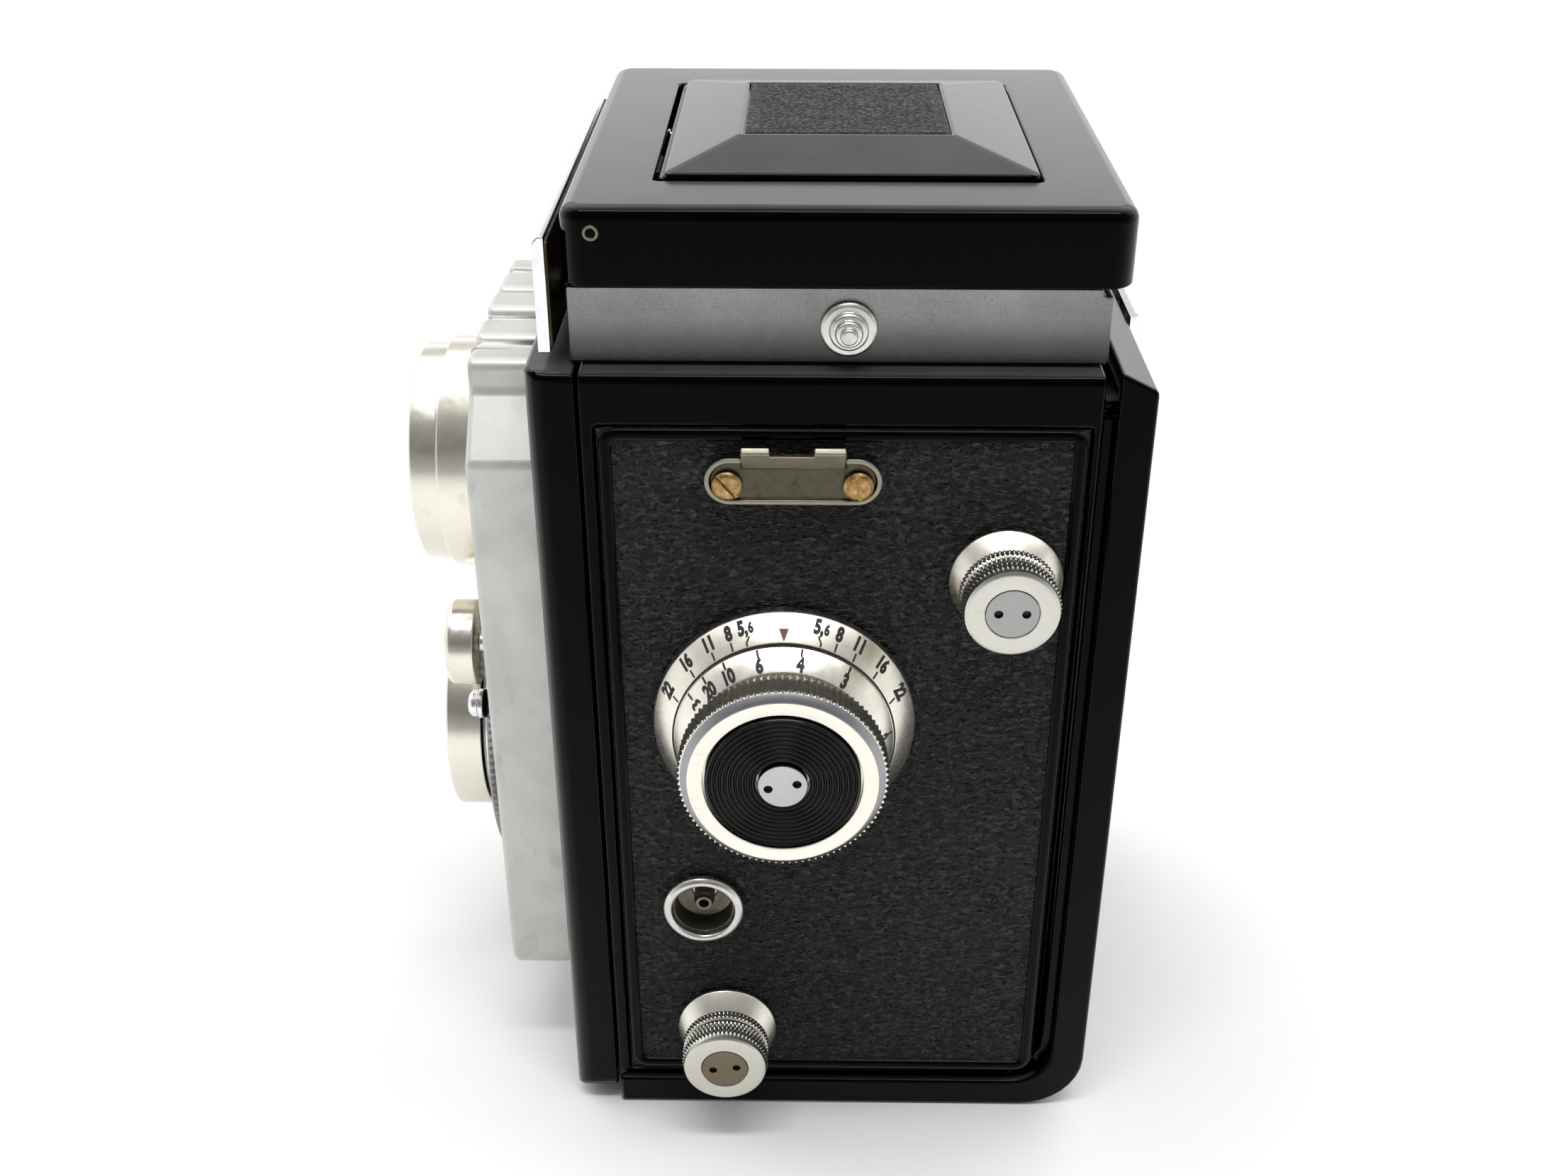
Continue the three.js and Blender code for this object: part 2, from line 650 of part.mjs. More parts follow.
function addBack() {
  const corner = 9.5;
  const rimCorner = 6.3;
  const front = bodyFront + 0.1;
  const rim = new THREE.Shape();
  rim.moveTo(front, 0);
  rim.lineTo(backOuter - corner, 0);
  rim.absarc(backOuter - corner, corner, corner, -quarter, 0);
  rim.lineTo(backOuter, backTop - 2.5);
  rim.lineTo(backInner, backTop);
  rim.lineTo(backInner, backBand + rimCorner);
  rim.absarc(backInner - rimCorner, backBand + rimCorner, rimCorner, 0, -quarter, true);
  rim.lineTo(front, backBand);
  const inner = backOuter - 2.4;
  const tray = new THREE.Shape();
  tray.moveTo(front - 5, coverWall);
  tray.lineTo(inner - corner + coverWall, coverWall);
  tray.absarc(inner - corner + coverWall, corner, corner - coverWall, -quarter, 0);
  tray.lineTo(inner, 119.3);
  tray.lineTo(front - 5, 119.3);
  const trayHalf = sideFace - coverWall;
  const barrel = join(
    alongX(disc(1.9, -hinge.half + 0.5, hinge.half - 0.5, 20), 0, hinge.y, hinge.z),
    block(-hinge.half + 0.5, hinge.half - 0.5, hinge.y, front + 1, 1.3, 2.6),
    block(-hinge.half + 0.5, hinge.half - 0.5, front + 0.2, front + 1, 0.5, 2.6),
  );
  const bushHole = disc(7.3, -1, 3).translate(0, 14, 0);
  const pinHole = alongX(disc(1.1, -hinge.half, hinge.half, 16), 0, hinge.y, hinge.z);
  const leatherPocket = block(-34.5, 34.5, backOuter - 0.8, backOuter + 1, 12, 112);
  const shell = cut(
    extrudeX(rim, -sideFace, sideFace),
    extrudeX(tray, -trayHalf, trayHalf),
  );
  piece('back_cover', cut(join(shell, barrel), bushHole, pinHole, leatherPocket), blackEnamel);
  piece(
    'back_leatherette',
    block(-34.2, 34.2, backOuter - 0.5, backOuter, 12.3, 111.7),
    blackLeather,
  );
  piece(
    'pressure_plate',
    join(block(-32, 32, 32.6, 33.6, 19, 78), block(-6, 6, 33.4, inner - gap, 40, 57)),
    mattBlack,
  );
  piece('back_latch', block(-14, 14, backOuter + gap, backOuter + 1.8, 115.6, 120.4), chromePlate);
  const bush = [[0, 6], [3, 6], [3, 0.15], [7, 0.15], [7, 7.5], [0, 7.5]];
  piece('tripod_bush', turned(bush, 20).translate(0, 14, 0), steel);
}

// ---------- hood ----------

function addHoodBase() {
  const { half, front, rear, bottom, top, wall } = hood;
  const inner = half - wall;
  const posts = [-22, 22].map((x) => alongFront(disc(2, -0.3, 1.95, 16), x, front, 127.5));
  const ears = [-1, 1].flatMap((side) => {
    const x0 = side > 0 ? 22 : -26;
    return [
      alongX(disc(lidHinge.radius, x0, x0 + 4, 16), 0, lidHinge.y, lidHinge.z),
      block(x0, x0 + 4, rear - 1, lidHinge.y, top - 3, lidHinge.z),
    ];
  });
  const box = cut(
    block(-half, half, front, rear, bottom, top),
    block(-inner, inner, front + wall, rear - wall, bottom + 1.1, top + 1),
    block(-27.8, 27.8, -31.8, 19.3, bottom - 1, bottom + 3),
    block(-half - 1, half + 1, rear - wall, rear + 1, top - lidSkirtRelief, top + 1),
  );
  piece(
    'hood_base',
    cut(
      join(box, ...posts, ...ears),
      alongX(disc(0.9, -30, 30, 16), 0, lidHinge.y, lidHinge.z),
      alongX(disc(1.5, half - 3, half + 1, 16), 0, 0.95, 127),
    ),
    satinAluminium,
  );
  const stud = [
    [0, -2], [1.2, -2], [1.2, 0.3], [3.5, 0.3], [3.5, 0.8], [2.4, 1.1], [2.4, 1.6],
    [1.7, 1.9], [1.7, 2.4], [1.05, 2.7], [1.05, 3.3], [0, 3.5],
  ];
  piece('hood_side_stud', turned(stud, 20), steel, sidePlace(1, half, 0.95, 127));
  const plate = polygon([
    [-37.25, 123.4], [-35.65, 123.4], [-35.65, 138.3], [-36.5, 138.3], [-37.25, 137.4],
  ]);
  piece('hood_front_plate', extrudeX(plate, -half, half), chromePlate);
  piece(
    'lid_hinge_pin',
    alongX(disc(0.6, -29.8, 29.8, 12), 0, lidHinge.y, lidHinge.z),
    steel,
  );
}

function addLid() {
  const { half, front, rear, bottom, top, wall } = lid;
  const edge = 1.8;
  const outside = common(
    extrudeZ(roundedRectangle(-half, half, front, rear, [3, 3, 3, 3]), bottom, top, 4),
    extrudeX(roundedRectangle(front, rear, bottom, top, [0, 0, edge, edge]), -half, half, 3),
    extrudeY(roundedRectangle(-half, half, bottom, top, [0, 0, edge, edge]), front, rear, 3),
  );
  const inner = half - wall;
  const earNotch = (side) => {
    const x0 = side > 0 ? 21.4 : -26.6;
    return block(x0, x0 + 5.2, 31, rear + 1, bottom - 1, lidHinge.z + 2.6);
  };
  const knuckles = [-1, 1].map((side) => {
    const x0 = side > 0 ? 27 : -30;
    return alongX(disc(lidHinge.radius, x0, x0 + 3, 16), 0, lidHinge.y, lidHinge.z);
  });
  const shell = cut(
    outside,
    block(-inner, inner, front + wall, rear - wall, bottom - 1, top - 1.8),
    block(-flap.half - 0.4, flap.half + 0.4, flap.front - 0.75, flap.rear + 0.35, top - 3, top + 1),
    earNotch(1),
    earNotch(-1),
  );
  piece(
    'hood_lid',
    cut(
      join(shell, ...knuckles),
      alongX(disc(0.9, -30.2, 30.2, 16), 0, lidHinge.y, lidHinge.z),
      alongX(disc(0.85, half - 0.5, half + 1, 16), 0, -30.65, 139.5),
      alongX(disc(0.85, -half - 1, 0.5 - half, 16), 0, -30.65, 139.5),
    ),
    blackEnamel,
  );
}

function addFinderFlap() {
  const underBase = { half: 23.2, front: flap.front + 1.8, rear: flap.rear - 1.8 };
  const underTop = { half: 13.2, front: plateau.front + 1, rear: plateau.rear - 1 };
  const inset = 0.3;
  const roof = join(
    block(-flap.half, flap.half, flap.front, flap.rear, flap.bottom, flap.edge),
    hipped(flap, plateau, flap.edge - 0.01, flap.top),
  );
  piece(
    'finder_flap',
    cut(
      roof,
      hipped(underBase, underTop, flap.bottom - 0.2, flap.top - 1.5),
      block(
        -plateau.half + inset, plateau.half - inset,
        plateau.front + inset, plateau.rear - inset, flap.top - 0.6, flap.top + 1,
      ),
    ),
    blackEnamel,
  );
  const rest = inset + gap;
  piece(
    'flap_inlay',
    block(
      -plateau.half + rest, plateau.half - rest,
      plateau.front + rest, plateau.rear - rest, flap.top - 0.3, flap.top + 0.1,
    ),
    blackLeather,
  );
}

// Folding side shades: flat over the ground glass when shut, one above the other.
function addSidePanels() {
  const shape = (side) => polygon(
    [[-0.5, -31], [31.5, -31], [31.5, 2], [4, 29], [-0.5, 29]]
      .map(([reach, y]) => [side * (sidePanel.hinge - reach), y]),
  );
  const half = sidePanel.thickness / 2;
  piece(
    'hood_panel_left',
    extrudeZ(shape(1), sidePanel.leftZ - half, sidePanel.leftZ + half),
    mattBlack,
  );
  piece(
    'hood_panel_right',
    extrudeZ(shape(-1), sidePanel.rightZ - half, sidePanel.rightZ + half),
    mattBlack,
  );
}

function addMagnifier() {
  const frame = join(
    tube(13, 11, 135.5, 137),
    block(-4, 4, -31, -12, 135.5, 137),
    block(-6, 6, -32.05, -29.5, 135.5, 140),
  );
  piece('magnifier_frame', frame, satinAluminium);
  const dome = [[0, 134.6], [6, 134.9], [10.7, 135.6], [10.7, 136.9], [6, 137.6], [0, 137.9]];
  piece('magnifier_lens', turned(dome, 20), clearGlass);
}

addShell();
addCoverings();
addFrontCasting();
addLightChamber();
addFinderOptics();
addSpool('takeup_spool', upperSpool);
addSpool('supply_spool', lowerSpool);
addRoller('film_roller_upper', 81.5);
addRoller('film_roller_lower', 14.5);
addSpoolKnob('upper', upperSpool);
addSpoolKnob('lower', lowerSpool);
addWindKnob();
addFocusing();
addLensBoard();
addViewingLens();
addTakingLens();
addReleaseButton();
addSyncSocket();
addStrapLug(1, 'left');
addStrapLug(-1, 'right');
addBack();
addHoodBase();
addLid();
addFinderFlap();
addSidePanels();
addMagnifier();

export default camera;
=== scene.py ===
import json
import math

import bmesh
import bpy
from mathutils import Matrix, Vector, noise


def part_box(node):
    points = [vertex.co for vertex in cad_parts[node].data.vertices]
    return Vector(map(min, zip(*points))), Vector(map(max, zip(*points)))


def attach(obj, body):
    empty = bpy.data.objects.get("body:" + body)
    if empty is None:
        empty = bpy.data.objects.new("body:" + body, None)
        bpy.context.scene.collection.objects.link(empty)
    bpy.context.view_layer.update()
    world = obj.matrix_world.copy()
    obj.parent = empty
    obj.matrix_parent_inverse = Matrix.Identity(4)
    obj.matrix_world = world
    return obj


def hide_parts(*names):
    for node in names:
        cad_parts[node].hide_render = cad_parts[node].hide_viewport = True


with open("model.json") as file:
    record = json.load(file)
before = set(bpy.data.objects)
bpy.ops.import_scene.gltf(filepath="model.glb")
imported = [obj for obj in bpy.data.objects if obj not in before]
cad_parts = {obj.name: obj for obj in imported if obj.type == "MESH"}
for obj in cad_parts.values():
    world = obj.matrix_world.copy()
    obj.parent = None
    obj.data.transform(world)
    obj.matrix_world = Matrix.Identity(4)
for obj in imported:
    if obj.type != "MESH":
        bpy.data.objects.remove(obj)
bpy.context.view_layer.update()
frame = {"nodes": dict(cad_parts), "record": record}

# Looks of a twin lens reflex camera. Lengths are in millimetres until a mesh is made.
MM = 0.001
TURN = 2 * math.pi
FINE = 128                    # sides of a turned piece
SIDE_AXIS = Vector((1, 0, 0))
FRONT_AXIS = Vector((0, -1, 0))
UP = Vector((0, 0, 1))

record = frame["record"]
body_of = {node: body for body, nodes in record["behaviour"]["bodies"].items() for node in nodes}


# ---------- the frame ----------

def box_mm(node):
    """Lowest and highest corners of a CAD node in millimetres."""
    low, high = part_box(node)
    return Vector(low) / MM, Vector(high) / MM


def middle(node):
    low, high = box_mm(node)
    return (low + high) / 2


def place(origin, axis):
    """Local +Z is the axis, local +Y is up, local +X is to the right seen from outside."""
    z = Vector(axis).normalized()
    y = UP if abs(z.dot(UP)) < 0.9 else Vector((0, 1, 0))
    x = y.cross(z)
    turn = Matrix((x, y, z)).transposed().to_4x4()
    return Matrix.Translation(origin) @ turn


def at_side(node, side=1):
    """On the side face of the body, over the middle of a node."""
    face = box_mm("body_shell")[1].x
    centre = middle(node)
    return place(Vector((side * face, centre.y, centre.z)), SIDE_AXIS * side)


def at_front(node):
    """On the front face of the lens board, over the middle of a node."""
    face = box_mm("front_panel")[0].y
    centre = middle(node)
    return place(Vector((centre.x, face, centre.z)), FRONT_AXIS)


# ---------- meshes ----------

def tidy_mesh(mesh, angle=38):
    bm = bmesh.new()
    bm.from_mesh(mesh)
    bmesh.ops.recalc_face_normals(bm, faces=bm.faces)
    bm.to_mesh(mesh)
    bm.free()
    mesh.shade_smooth()
    mesh.set_sharp_from_angle(angle=math.radians(angle))


def make(name, points, faces, material, matrix=Matrix(), angle=38):
    mesh = bpy.data.meshes.new(name)
    mesh.from_pydata([(matrix @ Vector(p)) * MM for p in points], [], faces)
    mesh.validate()
    tidy_mesh(mesh, angle)
    mesh.materials.append(material)
    obj = bpy.data.objects.new(name, mesh)
    bpy.context.collection.objects.link(obj)
    return obj


def stands_for(obj, *nodes):
    """The piece joins the body of these nodes and stands in their place; the nodes are hidden."""
    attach(obj, body_of[nodes[0]])
    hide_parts(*nodes)
    return obj


def goes_with(obj, node):
    """An extra piece on the same body as a node."""
    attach(obj, body_of[node])
    return obj


def baked(obj):
    """Applies the modifiers of a piece."""
    graph = bpy.context.evaluated_depsgraph_get()
    mesh = bpy.data.meshes.new_from_object(obj.evaluated_get(graph))
    old = obj.data
    obj.modifiers.clear()
    obj.data = mesh
    bpy.data.meshes.remove(old)
    return obj


def evened(obj):
    """Flat faces stay flat beside rounded edges."""
    obj.data.shade_smooth()
    obj.data.set_sharp_from_angle(angle=math.radians(40))
    obj.modifiers.new("even", "WEIGHTED_NORMAL").keep_sharp = True
    return baked(obj)


def rectangle(x0, x1, y0, y1, z, radius, steps=6):
    """Points round a level rectangle with rounded corners."""
    corners = [(x1 - radius, y0 + radius, -90), (x1 - radius, y1 - radius, 0),
               (x0 + radius, y1 - radius, 90), (x0 + radius, y0 + radius, 180)]
    points = []
    for x, y, start in corners:
        for k in range(steps + 1):
            a = math.radians(start + 90 * k / steps)
            points.append((x + radius * math.cos(a), y + radius * math.sin(a), z))
    return points


def loft(name, levels, material, closed=False):
    """Skin over rings of points that all have the same count."""
    count = len(levels[0])
    points = [p for level in levels for p in level]
    faces = []
    for i in range(len(levels) if closed else len(levels) - 1):
        a, b = i * count, (i + 1) % len(levels) * count
        for k in range(count):
            after = (k + 1) % count
            faces.append((a + k, a + after, b + after, b + k))
    if not closed:
        faces.append(tuple(range(count)))
        faces.append(tuple(range(len(points) - count, len(points))))
    return evened(make(name, points, faces, material))


def slab(name, low, high, material, edge):
    """A box with rounded edges."""
    levels = []
    for z, inset in ((low[2], edge), (low[2] + edge, 0), (high[2] - edge, 0), (high[2], edge)):
        x, y = (low[0] + inset, high[0] - inset), (low[1] + inset, high[1] - inset)
        levels.append(rectangle(*x, *y, z, edge + 0.05, 3))
    return loft(name, levels, material)


FOUR_SIDES = [(k, (k + 1) % 4, 4 + (k + 1) % 4, 4 + k) for k in range(4)]


def prism(name, corners, low, high, material, matrix=Matrix()):
    """A block over four level corners, between two heights."""
    points = [(x, y, z) for z in (low, high) for x, y in corners]
    return make(name, points, [(0, 1, 2, 3), (4, 5, 6, 7)] + FOUR_SIDES, material, matrix)


def rounded(outline, radius, steps=3):
    """Rounds the corners of a closed outline. Points on the axis stay as they are."""
    result = []
    count = len(outline)
    for i, corner in enumerate(outline):
        here = Vector(corner)
        before = Vector(outline[i - 1]) - here
        after = Vector(outline[(i + 1) % count]) - here
        straight = before.angle(after) > math.radians(165)
        size = min(radius, before.length * 0.45, after.length * 0.45)
        if here.x < 1e-6 or straight:
            result.append(tuple(here))
            continue
        start = here + before.normalized() * size
        end = here + after.normalized() * size
        for k in range(steps + 1):
            t = k / steps
            point = start * (1 - t) ** 2 + here * 2 * t * (1 - t) + end * t ** 2
            result.append(tuple(point))
    return result


def turned(name, outline, material, matrix, sides=FINE, shape=None, angle=38):
    """Turns a closed outline of (radius, height) about local Z. shape changes a radius by angle."""
    points, rows, faces = [], [], []
    for radius, height in outline:
        row = []
        for k in range(1 if radius < 1e-6 else sides):
            a = TURN * k / sides
            r = shape(a, radius, height) if shape and radius > 1e-6 else radius
            row.append(len(points))
            points.append((r * math.sin(a), r * math.cos(a), height))
        rows.append(row)
    for i, row in enumerate(rows):
        after = rows[(i + 1) % len(rows)]
        for k in range(sides):
            a, b = row[k % len(row)], row[(k + 1) % len(row)]
            c, d = after[(k + 1) % len(after)], after[k % len(after)]
            face = list(dict.fromkeys((a, b, c, d)))
            if len(face) > 2:
                faces.append(face)
    return make(name, points, faces, material, matrix, angle)


def band(radius, low, high, rows):
    """Close rows of points up a cylinder, for a knurl."""
    return [(radius, low + (high - low) * k / rows) for k in range(rows + 1)]


def arc_between(a0, a1, steps):
    return [a0 + (a1 - a0) * k / steps for k in range(steps + 1)]


def cut(obj, cutters):
    """Takes the cutters out of a piece and removes them."""
    for cutter in cutters:
        modifier = obj.modifiers.new("hole", "BOOLEAN")
        modifier.operation = "DIFFERENCE"
        modifier.solver = "EXACT"
        modifier.object = cutter
    baked(obj)
    for cutter in cutters:
        bpy.data.objects.remove(cutter)
    return obj


def drilled(obj, cutters):
    """A turned piece with holes cut in it."""
    tidy_mesh(cut(obj, cutters).data, 32)
    return obj


def refined(node, name, material, width, segments=3, keep=None):
    """The shape of a CAD node with its sharp edges rounded. keep picks edges by their middle."""
    source = frame["nodes"][node].data
    mesh = bpy.data.meshes.new(name)
    bm = bmesh.new()
    bm.from_mesh(source)
    bmesh.ops.remove_doubles(bm, verts=bm.verts, dist=2e-6)
    bmesh.ops.dissolve_limit(
        bm, angle_limit=math.radians(0.6), verts=bm.verts, edges=bm.edges,
        use_dissolve_boundaries=False,
    )
    bm.normal_update()
    weight = bm.edges.layers.float.new("bevel_weight_edge")
    for edge in bm.edges:
        if len(edge.link_faces) != 2:
            continue
        sharp = edge.calc_face_angle() > math.radians(34)
        centre = (edge.verts[0].co + edge.verts[1].co) / 2 / MM
        if sharp and (keep is None or keep(centre)):
            edge[weight] = 1
    bm.to_mesh(mesh)
    bm.free()
    mesh.materials.clear()
    mesh.materials.append(material)
    obj = bpy.data.objects.new(name, mesh)
    bpy.context.collection.objects.link(obj)
    bevel = obj.modifiers.new("bevel", "BEVEL")
    bevel.width = width * MM
    bevel.segments = segments
    bevel.limit_method = "WEIGHT"
    bevel.use_clamp_overlap = False
    bevel.miter_outer = "MITER_ARC"
    return stands_for(evened(baked(obj)), node)


# ---------- materials ----------

LUG_FOOT, LUG_FACE = 39.4, 40.1    # of a strap lug, out from the middle plane


def set_stops(ramp, stops):
    """Fills a ramp with positions and their grey level or colour."""
    elements = ramp.elements
    elements.remove(elements[1])
    for i, (at, level) in enumerate(stops):
        element = elements[0] if i == 0 else elements.new(at)
        element.position = at
        element.color = (*level, 1) if isinstance(level, tuple) else (level, level, level, 1)


class Finish:
    """A procedural material whose patterns are in millimetres of the row frame."""

    def __init__(self, name, base, roughness, metallic=0.0, **constants):
        self.material = bpy.data.materials.new(name)
        self.material.use_nodes = True
        self.tree = self.material.node_tree
        self.shader = self.tree.nodes["Principled BSDF"]
        self.coords = self.add("ShaderNodeTexCoord").outputs["Object"]
        self.normal = None
        self.set("Base Color", (*base, 1))
        self.set("Roughness", roughness)
        self.set("Metallic", metallic)
        for key, value in constants.items():
            self.set(key.replace("_", " "), value)

    def set(self, socket, value):
        self.shader.inputs[socket].default_value = value

    def add(self, kind, **settings):
        node = self.tree.nodes.new(kind)
        for key, value in settings.items():
            setattr(node, key, value)
        return node

    def link(self, source, target):
        self.tree.links.new(source, target)

    def mapped(self, scale, offset=(0, 0, 0)):
        node = self.add("ShaderNodeMapping")
        node.inputs["Scale"].default_value = [s / MM for s in scale]
        node.inputs["Location"].default_value = [-o * s for o, s in zip(offset, scale)]
        self.link(self.coords, node.inputs["Vector"])
        return node.outputs["Vector"]

    def noise(self, scale, detail=3.0, rough=0.55, distortion=0.0, offset=(0, 0, 0)):
        """Noise with this many waves for each millimetre, along X, Y and Z."""
        scale = scale if isinstance(scale, tuple) else (scale,) * 3
        node = self.add("ShaderNodeTexNoise")
        self.link(self.mapped(scale, offset), node.inputs["Vector"])
        node.inputs["Scale"].default_value = 1
        node.inputs["Detail"].default_value = detail
        node.inputs["Roughness"].default_value = rough
        node.inputs["Distortion"].default_value = distortion
        return node.outputs["Fac"]

    def ramp(self, value, stops):
        node = self.add("ShaderNodeValToRGB")
        set_stops(node.color_ramp, stops)
        self.link(value, node.inputs["Fac"])
        return node.outputs["Color"]

    def mix(self, factor, a, b, blend="MIX"):
        node = self.add("ShaderNodeMix", data_type="RGBA", blend_type=blend)
        for socket, value in ((0, factor), (6, a), (7, b)):
            if isinstance(value, (float, int)):
                node.inputs[socket].default_value = value
            elif isinstance(value, tuple):
                node.inputs[socket].default_value = (*value, 1)
            else:
                self.link(value, node.inputs[socket])
        return node.outputs[2]

    def part(self, vector, axis):
        """One component of a vector."""
        parts = self.add("ShaderNodeSeparateXYZ")
        self.link(vector, parts.inputs[0])
        return parts.outputs[axis]

    def rise(self, distance, low, high):
        """0 to 1 between two distances."""
        node = self.add("ShaderNodeMapRange")
        node.inputs["From Min"].default_value = low * MM
        node.inputs["From Max"].default_value = high * MM
        self.link(distance, node.inputs["Value"])
        return node.outputs["Result"]

    def height(self, low, high):
        """0 to 1 between two heights."""
        return self.rise(self.part(self.coords, "Z"), low, high)

    def outward(self, low, high):
        """0 to 1 between two distances from the middle plane of the object."""
        distance = self.add("ShaderNodeMath", operation="ABSOLUTE")
        self.link(self.part(self.coords, "X"), distance.inputs[0])
        return self.rise(distance.outputs[0], low, high)

    def facing_up(self):
        """1 on faces that look up when the object is at rest."""
        normal = self.add("ShaderNodeTexCoord").outputs["Normal"]
        return self.ramp(self.part(normal, "Z"), [(0.72, 0.0), (0.97, 1.0)])

    def color(self, value):
        self.link(value, self.shader.inputs["Base Color"])

    def rough(self, value):
        self.link(value, self.shader.inputs["Roughness"])

    def bump(self, height, distance, strength=1.0):
        """Relief of this many millimetres."""
        node = self.add("ShaderNodeBump")
        node.inputs["Strength"].default_value = strength
        node.inputs["Distance"].default_value = distance * MM
        self.link(height, node.inputs["Height"])
        if self.normal is not None:
            self.link(self.normal, node.inputs["Normal"])
        self.normal = node.outputs["Normal"]
        self.link(self.normal, self.shader.inputs["Normal"])

    def radial_grain(self, axis):
        node = self.add("ShaderNodeTangent", direction_type="RADIAL", axis=axis)
        self.link(node.outputs["Tangent"], self.shader.inputs["Tangent"])


def enamel():
    black = (0.0007, 0.0007, 0.0008)
    f = Finish("black_enamel", black, 0.08, Coat_Weight=0.03, Coat_Roughness=0.06)
    f.set("Specular Tint", (0.05, 0.05, 0.05, 1))
    dust = f.ramp(f.noise(0.9, 2), [(0.0, 0.0), (0.79, 0.0), (0.83, 0.3)])
    haze = f.ramp(f.noise(0.07, 4), [(0.3, 0.05), (0.7, 0.11)])
    patches = f.ramp(f.noise(0.12, 5), [(0.3, 0.75), (0.7, 1.0)])
    # Faces that look up get a lighter film: partly dust, partly a painted sheen that stands in for
    # the light from above.
    top_dust_and_sheen = f.mix(1.0, f.facing_up(), patches, "MULTIPLY")
    f.rough(f.mix(dust, f.mix(top_dust_and_sheen, haze, (0.22, 0.22, 0.22)), (0.5, 0.5, 0.5)))
    # painted sheen: the paint of upward faces is lighter
    paint = f.mix(top_dust_and_sheen, black, (0.06, 0.06, 0.057))
    f.color(f.mix(dust, paint, (0.02, 0.02, 0.018)))
    f.bump(f.noise(0.16, 2), 0.03, 0.5)
    return f.material


def leather(name, stretch=(0.85, 0.85, 2.0)):
    f = Finish(name, (0.008, 0.008, 0.009), 0.34, Specular_IOR_Level=0.34)
    grain_and_crease_shade = f.ramp(f.noise(stretch, 2, 0.5, 0.7), [(0.44, 0.0), (0.53, 0.7), (0.64, 1.0)])
    pores = f.noise(tuple(4.5 * k for k in stretch), 3, 0.6)
    # Painted crease shade: the creases of the grain are painted near black and the crests dark
    # grey.
    f.color(f.mix(grain_and_crease_shade, (0.0002, 0.0002, 0.0003), (0.015, 0.0165, 0.016)))
    f.rough(f.mix(grain_and_crease_shade, (0.65, 0.65, 0.65), f.ramp(f.noise(0.5, 4), [(0.3, 0.28), (0.7, 0.40)])))
    f.bump(grain_and_crease_shade, 0.6, 1.0)
    f.bump(pores, 0.03, 0.7)
    return f.material


def grey_paint():
    f = Finish("grey_paint", (0.50, 0.505, 0.49), 0.38, 0.45, Coat_Weight=0.15, Coat_Roughness=0.3)
    flakes = f.noise(5.5, 2, 0.7)
    cloud = f.ramp(f.noise(0.06, 5, 0.6, 0.4), [
        (0.35, (0.50, 0.505, 0.475)), (0.65, (0.60, 0.605, 0.57)),
    ])
    stain = f.ramp(f.noise((0.09, 0.2, 0.08), 6, 0.62, 0.6, (3, 8, 1)), [(0.56, 0.0), (0.74, 0.6)])
    paint = f.mix(flakes, cloud, (0.56, 0.565, 0.55), "SOFT_LIGHT")
    f.color(f.mix(stain, paint, (0.27, 0.275, 0.262)))
    f.rough(f.ramp(f.noise(0.3, 4), [(0.3, 0.34), (0.7, 0.5)]))
    f.bump(f.noise(3.2, 3), 0.012, 0.7)
    return f.material


def satin_aluminium(name="satin_aluminium", painted_shade_heights=None):
    """Fine blasted aluminium, with an optional painted shade: given two heights, it is painted
    darker below and lightens upward between them.
    """
    f = Finish(name, (0.27, 0.27, 0.26), 0.38, 1.0)
    cloud = f.noise((0.07, 0.07, 0.1), 6, 0.65, 0.3)
    speck = f.ramp(f.noise(3.5, 3, 0.7), [(0.52, 0.0), (0.72, 0.6)])
    shade = f.ramp(cloud, [
        (0.3, (0.25, 0.25, 0.242)), (0.5, (0.29, 0.29, 0.28)), (0.72, (0.33, 0.33, 0.32)),
    ])
    if painted_shade_heights:
        # Painted shade: darker towards the bottom, standing in for the dark body reflected below.
        rise = f.ramp(f.height(*painted_shade_heights), [(0.0, 0.10), (0.3, 0.34), (0.6, 0.72), (1.0, 0.90)])
        shade = f.mix(1.0, shade, rise, "MULTIPLY")
    f.color(f.mix(speck, shade, (0.08, 0.08, 0.077)))
    f.rough(f.ramp(f.noise(1.2, 4), [(0.3, 0.34), (0.7, 0.44)]))
    f.bump(f.noise((5, 5, 5), 3), 0.012, 0.9)
    return f.material


def turned_metal(name, axis, base=(0.86, 0.825, 0.73), stain=(0.50, 0.46, 0.38), roughness=0.27):
    """Bright metal with the fine rings that a lathe leaves about an axis."""
    f = Finish(name, base, roughness, 1.0, Anisotropic=0.55)
    f.radial_grain(axis)
    spots = f.ramp(f.noise(0.28, 6, 0.6, 0.4), [(0.6, 0.0), (0.8, 0.45)])
    cloud = f.ramp(f.noise(0.12, 3), [(0.3, base), (0.7, tuple(c * 0.95 for c in base))])
    f.color(f.mix(spots, cloud, stain))
    f.rough(f.ramp(f.noise(0.8, 5), [(0.3, roughness - 0.025), (0.7, roughness + 0.035)]))
    f.bump(f.noise(6.0, 3), 0.0012, 0.3)
    return f.material


def plated(name, base, roughness, wear=(0.30, 0.27, 0.20), amount=0.5, rubbed=None):
    """Plated metal with dull patches.

    rubbed is a brighter tone and the distance from the middle plane beyond which it shows.
    """
    f = Finish(name, base, roughness, 1.0)
    worn = f.ramp(f.noise(0.45, 6, 0.65, 0.4), [(0.55, 0.0), (0.76, amount)])
    tone = f.mix(worn, base, wear)
    if rubbed:
        bright, distance = rubbed
        blend = 0.3
        tone = f.mix(f.outward(distance, distance + blend), tone, bright)
    f.color(tone)
    f.rough(f.ramp(f.noise(0.9, 5), [(0.3, max(0.03, roughness - 0.06)), (0.7, roughness + 0.12)]))
    f.bump(f.noise(1.6, 4), 0.01, 0.4)
    return f.material


